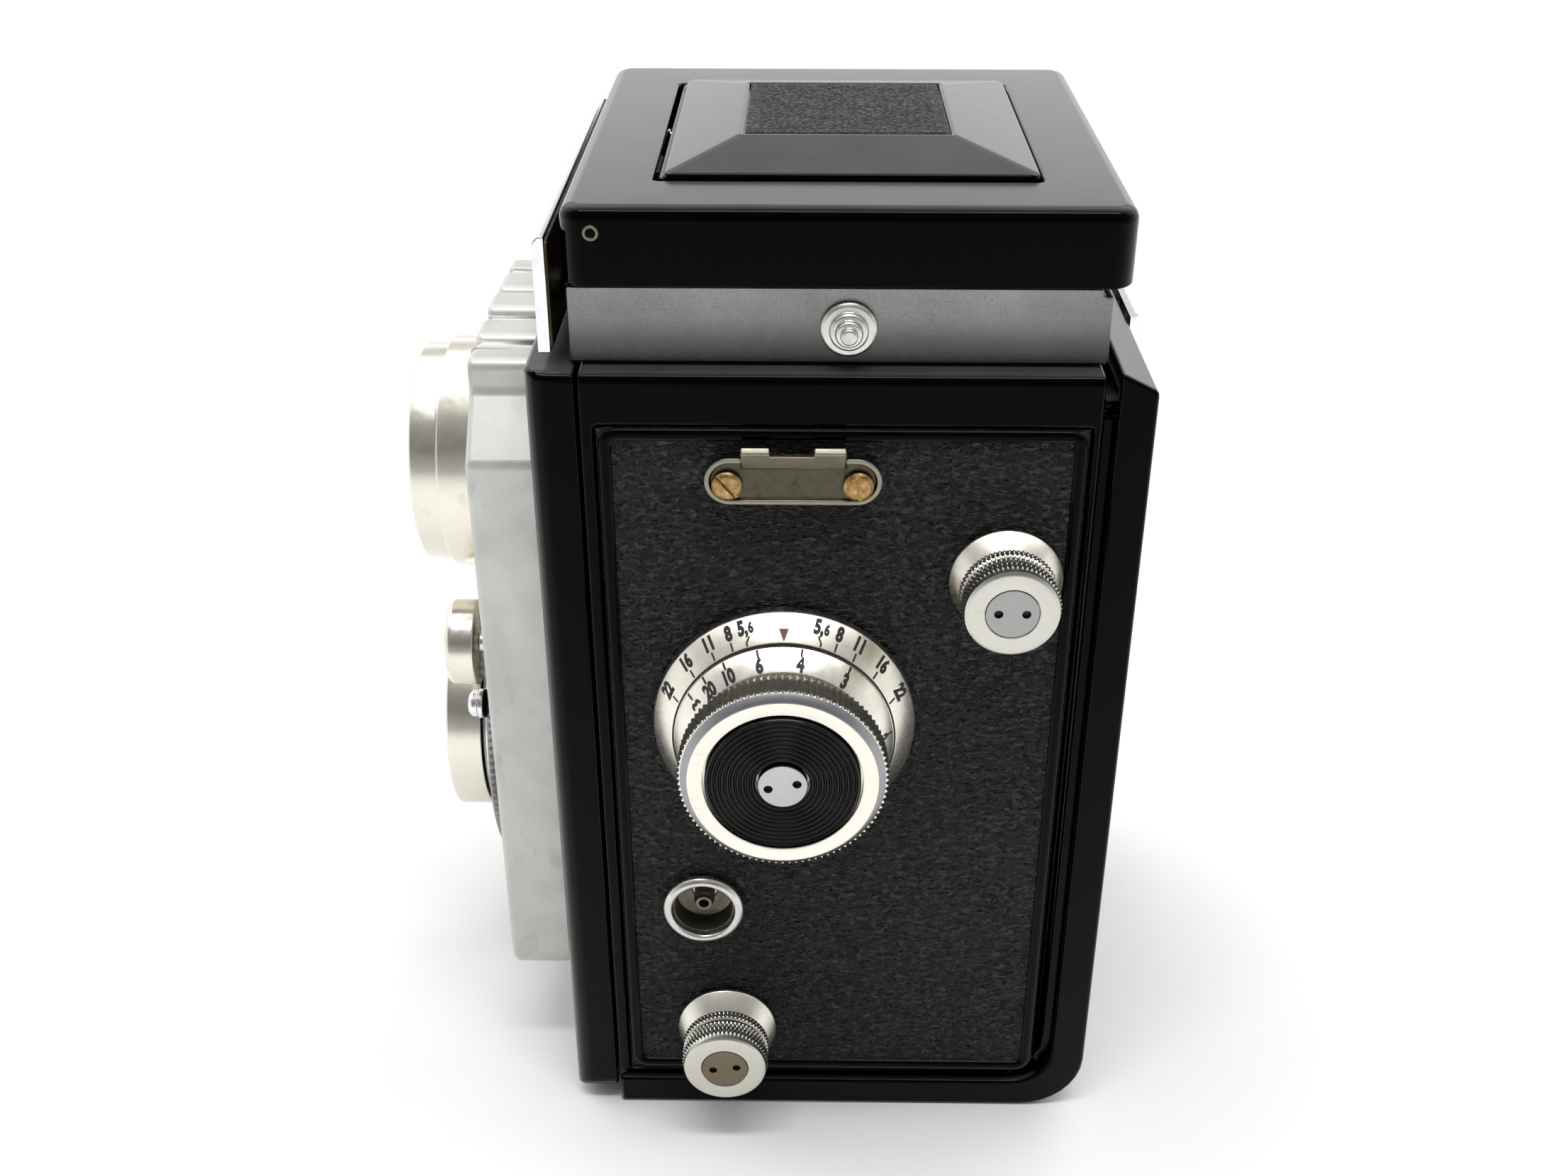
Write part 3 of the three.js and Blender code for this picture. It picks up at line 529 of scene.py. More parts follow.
def brass():
    f = Finish("tarnished_brass", (0.36, 0.22, 0.09), 0.36, 1.0)
    f.color(f.ramp(f.noise(1.1, 5, 0.65, 0.4), [
        (0.3, (0.16, 0.09, 0.035)), (0.5, (0.37, 0.23, 0.09)), (0.72, (0.55, 0.38, 0.18)),
    ]))
    f.rough(f.ramp(f.noise(1.5, 4), [(0.3, 0.25), (0.7, 0.5)]))
    f.bump(f.noise((3, 3, 9), 3), 0.015, 0.7)
    return f.material


def plastic():
    f = Finish("black_plastic", (0.002, 0.002, 0.0022), 0.2, Specular_IOR_Level=0.26)
    f.color(f.ramp(f.noise(0.8, 4), [
        (0.4, (0.0015, 0.0015, 0.0018)), (0.8, (0.009, 0.009, 0.0085)),
    ]))
    f.rough(f.ramp(f.noise(1.2, 5), [(0.35, 0.15), (0.7, 0.28)]))
    f.bump(f.noise(4, 3), 0.004, 0.6)
    return f.material


def matt_black():
    f = Finish("matt_black", (0.012, 0.012, 0.012), 0.65, Specular_IOR_Level=0.3)
    f.color(f.ramp(f.noise(0.3, 5), [(0.35, 0.009), (0.7, 0.02)]))
    f.rough(f.ramp(f.noise(2.0, 3), [(0.3, 0.55), (0.7, 0.78)]))
    f.bump(f.noise(6, 3), 0.01, 0.8)
    return f.material


def glass(name, base, roughness, tint):
    f = Finish(name, base, roughness, IOR=1.52, Transmission_Weight=1.0, Coat_Weight=0.6)
    f.set("Coat Tint", (*tint, 1))
    f.rough(f.ramp(f.noise(0.5, 4), [(0.4, roughness), (0.8, roughness + 0.04)]))
    f.color(f.ramp(f.noise(0.2, 3), [(0.3, base), (0.7, tuple(c * 0.94 for c in base))]))
    return f.material


def ink(name, color):
    f = Finish(name, color, 0.5)
    f.color(f.ramp(f.noise(1.6, 4), [(0.35, color), (0.75, tuple(min(1, c * 2.2) for c in color))]))
    f.rough(f.ramp(f.noise(2.2, 3), [(0.3, 0.4), (0.7, 0.65)]))
    return f.material


ENAMEL = enamel()
LEATHER = leather("black_leatherette")
FINE_LEATHER = leather("fine_leatherette", (2.0, 2.0, 2.0))
GREY = grey_paint()
SATIN = satin_aluminium()
# The hood's aluminium, with a painted shade that darkens it towards the body below.
HOOD_SATIN = satin_aluminium(
    "hood_aluminium", (box_mm("hood_base")[0].z, box_mm("hood_lid")[0].z),
)
TURNED_X = turned_metal("turned_aluminium_side", "X")
TURNED_Y = turned_metal("turned_nickel_front", "Y", (0.80, 0.765, 0.67), (0.42, 0.36, 0.28), 0.2)
BEVEL_GREY = turned_metal("turned_grey", "X", (0.34, 0.345, 0.36), (0.26, 0.26, 0.25), 0.3)
PEWTER = plated(
    "pewter", (0.085, 0.078, 0.055), 0.36, (0.04, 0.035, 0.022), 0.85,
    rubbed=((0.27, 0.255, 0.20), LUG_FACE),
)
NICKEL = plated("nickelled_steel", (0.62, 0.61, 0.58), 0.24)
DARK_METAL = plated("dark_socket_metal", (0.20, 0.19, 0.15), 0.4, (0.07, 0.065, 0.05), 0.8)
CHROME = plated("bright_chrome", (0.80, 0.80, 0.82), 0.1, (0.45, 0.43, 0.40), 0.25)
CAP_LIGHT = turned_metal("cap_light", "X", (0.47, 0.47, 0.46), (0.36, 0.355, 0.34), 0.24)
CAP_GREY = turned_metal("cap_grey", "X", (0.34, 0.34, 0.33), (0.26, 0.255, 0.24), 0.26)
CAP_BROWN = turned_metal("cap_brown", "X", (0.18, 0.15, 0.105), (0.09, 0.075, 0.05), 0.36)
KNOB_METAL = turned_metal("turned_knob", "X", (0.60, 0.59, 0.53), (0.44, 0.41, 0.34), 0.27)
BRASS = brass()
PLASTIC = plastic()
MATT = matt_black()
LENS_GLASS = glass("lens_glass", (0.93, 0.95, 1.0), 0.01, (0.72, 0.68, 1.0))
GROUND = glass("ground_glass", (0.88, 0.91, 0.90), 0.42, (1.0, 1.0, 1.0))
SILVER = plated("silvered_mirror", (0.93, 0.94, 0.94), 0.03, (0.7, 0.7, 0.68), 0.15)
SHELLAC = plated("dark_backing", (0.05, 0.038, 0.02), 0.4, (0.12, 0.085, 0.04), 0.7)
INK = ink("engraving_black", (0.009, 0.008, 0.008))
RED_INK = ink("engraving_brown", (0.12, 0.03, 0.018))


def carried(node, material):
    """A CAD node that stays, with a better material."""
    for slot in frame["nodes"][node].material_slots:
        slot.material = material


# ---------- coverings ----------

def grain(y, z):
    """Height, 0 to 1, of pressed leather grain: low cells lying across, creases between."""
    wander = noise.noise(Vector((y * 0.3, z * 0.3, 3.1)))
    cells = noise.noise(Vector((y * 0.5 + wander, z * 1.15 + 0.9 * wander, 7.7)))
    small = noise.noise(Vector((y * 1.1, z * 2.3 + wander, 1.3)))
    crease = min(1.0, abs(cells + 0.25 * small) * 4.2)
    swell = 0.5 + 0.5 * noise.noise(Vector((y * 0.8, z * 1.6, 9.9)))
    return crease * (2 - crease) * (0.72 + 0.28 * swell)


def covering(node, name, axis, side, holes=(), pitch=0.27, relief=0.3, corner=0.0, finish=LEATHER):
    """A sheet of grained covering that lies across one axis, with a plain pressed rim."""
    low, high = box_mm(node)
    across = 0 if axis != 0 else 1
    up = 2 if axis != 2 else 1
    surface = high[axis] if side > 0 else low[axis]
    inner = low[axis] if side > 0 else high[axis]
    columns = round((high[across] - low[across]) / pitch)
    rows = round((high[up] - low[up]) / pitch)
    rim = 1.3
    points, faces, index = [], [], {}

    def place_point(i, j, sunk=None):
        a = low[across] + (high[across] - low[across]) * i / columns
        b = low[up] + (high[up] - low[up]) * j / rows
        edge = min(a - low[across], high[across] - a, b - low[up], high[up] - b)
        if corner and a > high[across] - corner and b < low[up] + corner:
            centre = Vector((high[across] - corner, low[up] + corner))
            away = Vector((a, b)) - centre
            edge = min(edge, corner - away.length)
            if away.length > corner:
                a, b = centre + away.normalized() * corner
        fade = max(0.0, min(1.0, (edge - rim) / 0.7))
        rolled = max(0.0, 1 - edge / 0.6) ** 2 * 0.16
        depth = fade * relief * (1 - grain(a, b)) + rolled + 0.03 * (1 - fade)
        point = [0.0, 0.0, 0.0]
        point[across], point[up] = a, b
        point[axis] = inner if sunk else surface - side * depth
        points.append(tuple(point))
        return len(points) - 1

    for i in range(columns + 1):
        for j in range(rows + 1):
            index[i, j] = place_point(i, j)
    for i in range(columns):
        for j in range(rows):
            a, b = points[index[i, j]][across], points[index[i, j]][up]
            if any((a - p) ** 2 + (b - q) ** 2 < r * r for p, q, r in holes):
                continue
            faces.append((index[i, j], index[i + 1, j], index[i + 1, j + 1], index[i, j + 1]))
    border = (
        [(i, 0) for i in range(columns)] + [(columns, j) for j in range(rows)]
        + [(i, rows) for i in range(columns, 0, -1)] + [(0, j) for j in range(rows, 0, -1)]
    )
    skirt = [place_point(i, j, True) for i, j in border]
    for k, cell in enumerate(border):
        after = (k + 1) % len(border)
        faces.append((index[cell], index[border[after]], skirt[after], skirt[k]))
    stands_for(make(name, points, faces, finish, angle=60), node)


def piping(node, name, side):
    """Smooth half-round bead over the edge of a side covering."""
    low, high = box_mm(node)
    surface = high.x if side > 0 else low.x
    levels = []
    for a in arc_between(0, math.pi, 8):
        inset = 0.95 - 0.85 * math.cos(a)
        lift = 0.55 * math.sin(a) - 0.1
        y, z = (low.y + inset, high.y - inset), (low.z + inset, high.z - inset)
        ring = rectangle(*y, *z, 0, 2.6 - inset)
        levels.append([(surface + side * lift, a, b) for a, b, _ in ring])
    levels.append([(surface - side * 0.3, y, z) for _, y, z in levels[-1]])
    levels.append([(surface - side * 0.3, y, z) for _, y, z in levels[0]])
    goes_with(loft(name, levels, ENAMEL, True), node)


def side_holes(side, *fittings):
    """Holes in a side covering: those of the given (node, radius) and of the lug's screws."""
    screws = [(f"lug_screw_{side}_{end}", 1.5) for end in ("front", "rear")]
    return [(middle(node).y, middle(node).z, radius) for node, radius in (*fittings, *screws)]


def make_coverings():
    left = side_holes(
        "left", ("upper_knob_flange", 5.6), ("lower_knob_flange", 5.6), ("focus_shaft", 3.6),
        ("sync_socket", 5.2),
    )
    covering("leatherette_left", "covering_left", 0, 1, left, corner=2.5)
    right = side_holes("right", ("wind_knob", 4))
    covering("leatherette_right", "covering_right", 0, -1, right, pitch=0.4, corner=2.5)
    covering("back_leatherette", "covering_back", 1, 1, pitch=0.4)
    piping("leatherette_left", "piping_left", 1)
    piping("leatherette_right", "piping_right", -1)
    covering("flap_inlay", "covering_flap", 2, 1, pitch=0.25, relief=0.12, finish=FINE_LEATHER)


# ---------- body ----------

def make_body():
    refined("body_shell", "shell", ENAMEL, 0.55)
    refined("front_casting", "front_frame", ENAMEL, 0.6)
    refined("back_cover", "back_door", ENAMEL, 0.6,
            keep=lambda c: c.z > 1 or abs(c.x) > 30 or c.y > 20)
    for node in ("light_chamber", "pressure_plate", "takeup_spool", "supply_spool"):
        carried(node, MATT)
    for node in ("back_hinge_pin", "lid_hinge_pin", "film_roller_upper", "film_roller_lower",
                 "focus_shaft", "focus_push_rod"):
        carried(node, NICKEL)
    carried("mirror", SILVER)
    carried("ground_glass", GROUND)


def make_latch():
    low, high = box_mm("back_latch")
    step = 0.7
    ribs = int((high.x - low.x - 3) / step)
    outline = [(low.x, low.y), (high.x, low.y), (high.x, high.y - 0.5), (high.x - 0.5, high.y)]
    for k in range(ribs):
        x = high.x - 1.5 - k * step
        outline += [(x, high.y), (x - step / 2, high.y - 0.35)]
    outline += [(low.x + 0.5, high.y), (low.x, high.y - 0.5)]
    count = len(outline)
    levels = [(low.z, 0.35), (low.z + 0.35, 0.0), (high.z - 0.35, 0.0), (high.z, 0.35)]
    points = [(x, max(low.y, y - inset), z) for z, inset in levels for x, y in outline]
    faces = [tuple(range(count)), tuple(range(3 * count, 4 * count))]
    for level in range(3):
        for k in range(count):
            a, b = level * count + k, level * count + (k + 1) % count
            faces.append((a, b, b + count, a + count))
    stands_for(make("latch_slider", points, faces, CHROME, angle=25), "back_latch")


# ---------- knobs ----------

def diamond(count, radius, pitch, depth):
    """Knurl of crossing grooves round a cylinder of this radius."""
    def shape(angle, r, h):
        if abs(r - radius) > 0.05:
            return r
        turns = angle / TURN * count
        a = abs((turns + h / pitch) % 1 - 0.5) * 2
        b = abs((turns - h / pitch) % 1 - 0.5) * 2
        return r - depth * (1 - min(a, b) ** 0.8)
    return shape


def flutes(count, radius, depth):
    """Straight pointed ribs round a cylinder of this radius."""
    def shape(angle, r, h):
        if abs(r - radius) > 0.05:
            return r
        t = abs((angle / TURN * count) % 1 - 0.5) * 2
        return r - depth * (1 - t) ** 0.8
    return shape


def spanner_spots(matrix, spacing, tilt):
    """Places of the two holes that a pin spanner turns a cap by."""
    turn = Matrix.Rotation(math.radians(tilt), 4, "Z")
    return [matrix @ (turn @ Matrix.Translation((end * spacing, 0, 0))) for end in (-1, 1)]


def spanner_cutters(spots, radius, low, high):
    outline = [(0, low), (radius, low), (radius, high), (0, high)]
    return [turned("cutter", outline, INK, spot, 20) for spot in spots]


def painted_hole_shadows(name, node, spots, radius, low, high):
    """Painted shadows: dark discs at the floors of the spanner holes."""
    outline = rounded([(0, low), (radius, low), (radius, high), (0, high)], 0.05)
    for end, spot in zip((0, 2), spots):
        goes_with(turned(f"{name}_{end}", outline, INK, spot, 20), node)


def make_spool_knob(which, cap_finish, tilt):
    spot = at_side(f"{which}_knob_flange")
    cone = rounded([(4.7, 0), (7.4, 0), (7.4, 0.5), (5.4, 2.9), (4.7, 2.9)], 0.15)
    stands_for(turned(f"{which}_knob_cone", cone, TURNED_X, spot), f"{which}_knob_flange")
    sleeve = rounded([(2.8, -4.6), (4.4, -4.6), (4.4, 2.6), (2.8, 2.6)], 0.2)
    stands_for(turned(f"{which}_knob_tube", sleeve, DARK_METAL, spot, 64), f"{which}_knob_sleeve")
    rim = 6.4
    outline = (
        [(0, -8), (2.5, -8), (2.5, 3.4), (6.1, 3.4)] + band(rim, 3.6, 4.9, 8)
        + [(6.0, 5.1), (5.95, 5.35), (6.0, 5.6)] + band(rim, 5.8, 8.1, 14)
        + [(6.1, 8.35), (6.0, 8.8), (5.75, 9.0), (5.4, 9.1)]
        + [(3.55, 9.1), (3.45, 9.0), (3.45, 8.2), (0, 8.2)]
    )
    knob = turned(f"{which}_knob", outline, KNOB_METAL, spot, 320, diamond(64, rim, 1.05, 0.3), 30)
    stands_for(knob, f"{which}_spool_knob")
    face = rounded([(0, 8.45), (3.38, 8.45), (3.38, 9.06), (0, 9.06)], 0.1)
    cap = turned(f"{which}_knob_cap", face, cap_finish, spot, 64)
    holes = spanner_spots(spot, 1.75, tilt)
    goes_with(drilled(cap, spanner_cutters(holes, 0.58, 8.3, 10)), f"{which}_spool_knob")
    # painted shadows: dark discs in the spanner holes of the cap
    painted_hole_shadows(f"{which}_knob_hole", f"{which}_spool_knob", holes, 0.57, 8.22, 8.5)


def make_wind_knob():
    spot = at_side("wind_knob", -1)
    base = rounded([(3.2, 0), (12.6, 0), (12.6, 0.8), (11.4, 2.2), (3.2, 2.2)], 0.2)
    stands_for(turned("wind_base", base, TURNED_X, spot), "wind_knob_flange")
    rim = 11.0
    outline = (
        [(0, -8), (2.5, -8), (2.5, 2.5), (10.6, 2.5)] + band(rim, 2.9, 9.9, 24)
        + [(10.65, 10.3), (10.5, 10.9), (10.0, 11.4)]
        + [(7.7, 11.4), (7.4, 11.25), (7.2, 10.95), (0, 10.9)]
    )
    knob = turned("wind_knob_body", outline, TURNED_X, spot, 440, diamond(88, rim, 1.3, 0.35), 30)
    stands_for(knob, "wind_knob")


# ---------- focusing ----------

class Cone:
    """Marks laid on a cone: angle clockwise from the top, distance outward from its inner edge."""

    def __init__(self, matrix, inner, outer):
        self.matrix = matrix
        self.inner = Vector(inner)
        self.out = (Vector(outer) - self.inner).normalized()
        self.normal = Vector((-self.out.y, self.out.x))

    def point(self, degrees, across, outward, lift):
        spot = self.inner + self.out * outward + self.normal * lift
        angle = math.radians(degrees) + across / spot.x
        return (spot.x * math.sin(angle), spot.x * math.cos(angle), spot.y)

    def label(self, text, degrees, outward, height, shift=0.0):
        curve = bpy.data.curves.new("label", "FONT")
        curve.body = text
        curve.size = height * 1.4
        curve.align_x = "CENTER"
        curve.align_y = "CENTER"
        curve.offset = 0.08 * height
        curve.resolution_u = 4
        obj = bpy.data.objects.new("label", curve)
        bpy.context.collection.objects.link(obj)
        graph = bpy.context.evaluated_depsgraph_get()
        flat = obj.evaluated_get(graph).to_mesh()
        narrow = 0.66
        points = [self.point(degrees, shift + v.co.x * narrow, outward + v.co.y, 0.03)
                  for v in flat.vertices]
        faces = [tuple(p.vertices) for p in flat.polygons]
        bpy.data.objects.remove(obj)
        return points, faces

    def stroke(self, degrees, start, end, width, slant=0.0, start_width=None):
        wide = (start_width if start_width is not None else width) / 2
        narrow = width / 2
        corners = [(-wide, start), (wide, start), (slant + narrow, end), (slant - narrow, end)]
        lower = [self.point(degrees, a, o, -0.05) for a, o in corners]
        upper = [self.point(degrees, a, o, 0.03) for a, o in corners]
        return lower + upper, [(4, 5, 6, 7)] + FOUR_SIDES

    def marks(self, name, parts, material):
        points, faces = [], []
        for some_points, some_faces in parts:
            faces += [tuple(i + len(points) for i in face) for face in some_faces]
            points += some_points
        return make(name, points, faces, material, self.matrix)


def make_focus_dial():
    spot = at_side("depth_scale_ring")
    outer = rounded([(2.6, 0), (17.7, 0), (17.7, 1.4), (14.9, 4.9), (2.6, 4.9)], 0.22)
    stands_for(turned("depth_scale_cone", outer, TURNED_X, spot, 192), "depth_scale_ring")
    inner = rounded([(2.6, 5.2), (14.65, 5.2), (12.4, 8), (2.6, 8)], 0.12)
    stands_for(turned("distance_cone", inner, TURNED_X, spot, 192), "distance_ring")

    fixed = Cone(spot, (14.9, 4.9), (17.7, 1.4))
    parts = []
    stops = [("5,6", 18.3), ("8", 26), ("11", 36.6), ("16", 51), ("22", 68)]
    for text, degrees in stops:
        for side in (-1, 1):
            if text == "5,6":
                parts.append(fixed.label("5,", side * (degrees - 0.8), 2.85, 2.0, -0.45))
                parts.append(fixed.label("6", side * (degrees - 0.8), 2.7, 1.45, 0.65))
                parts.append(fixed.stroke(side * degrees, 0.25, 0.8, 0.26))
                parts.append(fixed.stroke(side * degrees, 0.75, 1.6, 0.26, -side * 0.5))
            else:
                parts.append(fixed.label(text, side * degrees, 2.75, 2.0))
                parts.append(fixed.stroke(side * degrees, 0.25, 1.5, 0.26))
    goes_with(fixed.marks("depth_scale_marks", parts, INK), "depth_scale_ring")
    pointer = fixed.stroke(0, 0.4, 2.1, 1.35, 0, 0.14)
    goes_with(fixed.marks("depth_scale_index", [pointer], RED_INK), "depth_scale_ring")
    groove = [(14.68, 4.8), (14.93, 4.8), (14.93, 4.96), (14.68, 4.96)]
    goes_with(turned("depth_scale_line", groove, INK, spot, 192), "depth_scale_ring")

    moving = Cone(spot, (12.4, 8), (14.65, 5.2))
    parts = []
    metres = [
        ("20", -46.9), ("10", -33), ("6", -13.8), ("4", 9.6), ("3", 37), ("2", 83), ("∞", -59.7),
    ]
    for text, degrees in metres:
        parts.append(moving.label(text, degrees, 1.15, 2.0))
        parts.append(moving.stroke(degrees, 2.3, 3.45, 0.3))
    goes_with(moving.marks("distance_marks", parts, INK), "distance_ring")

    rim = 13.7
    knob = (
        [(2.3, 8.3), (11.4, 8.3), (11.4, 10.2), (13.2, 10.2)] + band(rim, 10.4, 14.05, 3)
        + [(13.28, 14.2), (12.45, 15.0), (12.3, 15.1)]
        + [(10.6, 15.1), (10.42, 15.0), (10.4, 13.6), (2.3, 13.6)]
    )
    wheel = turned("focus_wheel", knob, TURNED_X, spot, 576, flutes(96, rim, 0.42), 30)
    stands_for(wheel, "focus_knob")

    chamfer = rounded([
        (12.0, 14.0), (13.2, 14.0), (13.31, 14.22), (12.42, 15.07), (12.2, 14.9),
    ], 0.03)
    goes_with(turned("focus_wheel_chamfer", chamfer, BEVEL_GREY, spot, 192), "focus_knob")

    outline = [(3.5, 13.9), (10.1, 13.9), (10.1, 15.0), (9.9, 15.25)]
    start, width, top, depth = 9.8, 6.2, 15.36, 0.15
    pitch, steps = 0.66, 112
    for k in range(steps + 1):
        r = start - width * k / steps
        outline.append((r, top - depth * (1 + math.cos(TURN * (start - r) / pitch + math.pi))))
    outline.append((3.5, 15.1))
    stands_for(turned("focus_insert", outline, PLASTIC, spot, 160, angle=50), "focus_knob_insert")

    face = rounded([(0, 13.9), (3.2, 13.9), (3.2, 15.75), (0, 15.75)], 0.18)
    cap = turned("focus_cap", face, CAP_LIGHT, spot, 96)
    holes = spanner_spots(spot, 1.9, 12)
    stands_for(drilled(cap, spanner_cutters(holes, 0.6, 14.9, 17)), "focus_knob_cap")
    # painted shadows: dark discs in the spanner holes of the cap
    painted_hole_shadows("focus_cap_hole_shadow", "focus_knob_cap", holes, 0.59, 14.7, 15.0)


# ---------- side fittings ----------

def make_sync_socket():
    spot = at_side("sync_socket")
    cup = rounded([
        (0, -5), (4.9, -5), (4.9, 0), (5.84, 0), (5.84, 0.9), (5.3, 1.4), (4.75, 1.4),
        (4.47, 1), (4.47, -4), (0, -4),
    ], 0.25)
    stands_for(turned("socket_cup", cup, NICKEL, spot), "sync_socket")
    lining = rounded([
        (1.8, -3.95), (4.4, -3.95), (4.4, 0.3), (4.25, 0.3), (4.2, -3.2), (3.0, -3.5), (1.8, -3.6),
    ], 0.1)
    goes_with(turned("socket_lining", lining, DARK_METAL, spot, 96), "sync_socket")
    pin = rounded([
        (0.72, -3.7), (1.49, -3.7), (1.49, -1.6), (1.2, -1.2), (1.2, -0.6), (0.72, -0.6),
    ], 0.12)
    stands_for(turned("socket_pin", pin, DARK_METAL, spot, 48), "sync_socket_pin")


def make_screw(node, side, tilt):
    spot = at_side(node, side)
    head = rounded([
        (0, -2.2), (0.9, -2.2), (0.9, 1.2), (1.95, 1.2), (1.95, 1.62), (1.5, 1.98), (0, 2.1),
    ], 0.12)
    screw = turned(f"screw_{node[10:]}", head, BRASS, spot, 64)
    turn = Matrix.Rotation(math.radians(tilt), 4, "Z")
    wide, long = 0.24, 3
    corners = [(-wide, -long), (wide, -long), (wide, long), (-wide, long)]
    slot = prism("slot_cutter", corners, 1.55, 3, BRASS, spot @ turn)
    stands_for(drilled(screw, [slot]), node)


def make_side_fittings():
    make_sync_socket()
    refined("strap_lug_left", "lug_left", PEWTER, 0.22, keep=lambda c: c.x > LUG_FOOT)
    refined("strap_lug_right", "lug_right", PEWTER, 0.22, keep=lambda c: c.x < -LUG_FOOT)
    for node, side, tilt in (("lug_screw_left_front", 1, 40), ("lug_screw_left_rear", 1, 8),
                             ("lug_screw_right_front", -1, -25), ("lug_screw_right_rear", -1, 65)):
        make_screw(node, side, tilt)


# ---------- lens board ----------

def lens_dome(radius, foot, shoulder, rise, steps):
    """Outline of a front lens: a short wall under a domed face."""
    arc = [(radius * math.cos(a), shoulder + rise * math.sin(a))
           for a in arc_between(0.02, math.pi / 2, steps)[:-1]]
    return [(0, foot), (radius, foot), (radius, shoulder)] + arc + [(0, shoulder + rise)]


def make_lens_board():
    refined("front_panel", "lens_board", GREY, 0.9, 4, keep=lambda c: c.y < -34.5 and c.y > -49.6)
    spot = at_front("viewing_lens_barrel")
    barrel = rounded([
        (11.6, -8), (13.9, -8), (13.9, 0.3), (18.3, 0.3), (18.3, 1.2), (17.15, 1.5), (17.15, 6.5),
        (16.3, 6.6), (16.17, 6.9), (16.17, 10.5), (15.8, 10.8), (14.9, 10.8), (14.7, 8.2),
        (13.2, 6.8), (13.2, -1), (11.6, -1),
    ], 0.18)
    stands_for(turned("viewing_barrel", barrel, TURNED_Y, spot, 160), "viewing_lens_barrel")
    dome = lens_dome(12.9, -0.6, 2.6, 2.8, 14)
    stands_for(turned("viewing_glass", dome, LENS_GLASS, spot, 96), "viewing_lens_glass")

    spot = at_front("shutter_housing")
    housing = rounded([
        (12.6, -12), (15.6, -12), (15.6, 4.1), (12.6, 4.1),
        (12.6, -3), (9.5, -3), (9.5, -4), (12.6, -4),
    ], 0.15)
    stands_for(turned("shutter_tube", housing, SATIN, spot), "shutter_housing")
    edge = 22.9
    outline = (
        [(15.9, 0.3), (22.5, 0.3)] + band(edge, 0.5, 1.8, 3)
        + [(22.6, 2.0), (22.2, 2.2), (16.1, 2.2), (15.9, 2.0)]
    )
    disc = turned("speed_disc", outline, SATIN, spot, 480, flutes(120, edge, 0.3), 30)
    stands_for(disc, "speed_ring")
    face = Cone(spot, (15.9, 2.2), (22.9, 2.2))
    face.normal = Vector((0, 1))
    parts = []
    for k, text in enumerate(("1", "2", "5", "10", "25", "50", "100", "300")):
        degrees = 96 + k * 24
        parts.append(face.label(text, degrees, 3.6, 1.7))
        parts.append(face.stroke(degrees, 4.9, 6.0, 0.25))
    goes_with(face.marks("speed_marks", parts, INK), "speed_ring")
    front = rounded([
        (8.8, 4.4), (16, 4.4), (16, 9.5), (15.6, 9.86),
        (14.6, 9.86), (13.6, 8.6), (9.6, 7), (8.8, 6.6),
    ], 0.18)
    stands_for(turned("taking_ring", front, TURNED_Y, spot, 160), "taking_lens_ring")
    dome = lens_dome(8.5, 2.6, 6.0, 1.8, 12)
    stands_for(turned("taking_glass", dome, LENS_GLASS, spot, 96), "taking_lens_glass")
    refined("cocking_lever", "cocking_arm", CHROME, 0.15, 2)

    spot = at_front("release_button")
    button = rounded([
        (0, -6), (1.5, -6), (1.5, 2.2), (6.3, 2.2), (6.3, 5.7),
        (5.7, 6.4), (1.4, 6.4), (1.4, 3.4), (0, 3.4),
    ], 0.25)
    stands_for(turned("release_cap", button, TURNED_Y, spot), "release_button")


# ---------- hood ----------

def inset_level(low, high, inset, z, radius):
    x, y = (low.x + inset, high.x - inset), (low.y + inset, high.y - inset)
    return rectangle(*x, *y, z, max(radius, 0.12), 8)


def make_lid():
    low, high = box_mm("hood_lid")
    flap_low, flap_high = box_mm("finder_flap")
    corner, edge, wall, deck = 3.0, 1.8, 1.5, 1.8
    hole_low = Vector((flap_low.x - 0.4, flap_low.y - 0.75, 0))
    hole_high = Vector((flap_high.x + 0.4, flap_high.y + 0.35, 0))
    levels = [
        inset_level(low, high, 0.3, low.z, corner - 0.3),
        inset_level(low, high, 0, low.z + 0.3, corner),
    ]
    for a in arc_between(0, math.pi / 2, 8):
        inset = edge * (1 - math.cos(a))
        z = high.z - edge + edge * math.sin(a)
        levels.append(inset_level(low, high, inset, z, corner - inset))
    lip_radius = 0.45
    for a in arc_between(0, math.pi / 2, 4):
        lip = lip_radius * (1 - math.sin(a))
        z = high.z - lip_radius * (1 - math.cos(a))
        levels.append(inset_level(hole_low, hole_high, -lip, z, 0.9 + lip))
    levels.append(inset_level(hole_low, hole_high, 0, high.z - deck, 0.9))
    levels.append(inset_level(low, high, wall, high.z - deck, corner - wall))
    levels.append(inset_level(low, high, wall, low.z, corner - wall))
    lid = loft("lid", levels, ENAMEL, True)
    hinge = middle("lid_hinge_pin")
    notch_width, notch_front, past = 5.2, 31, high.y + 1
    cutters = []
    for x in (21.4, -26.6):
        x1 = x + notch_width
        corners = [(x, notch_front), (x1, notch_front), (x1, past), (x, past)]
        cutters.append(prism("notch_cutter", corners, low.z - 1, hinge.z + 2.6, ENAMEL))
    stands_for(evened(cut(lid, cutters)), "hood_lid")
    for number, x in ((1, 27), (2, -30)):
        spot = place(Vector((x, hinge.y, hinge.z)), SIDE_AXIS)
        knuckle = rounded([(0.75, 0), (1.4, 0), (1.4, 3), (0.75, 3)], 0.15)
        goes_with(turned(f"lid_knuckle_{number}", knuckle, ENAMEL, spot, 40), "hood_lid")


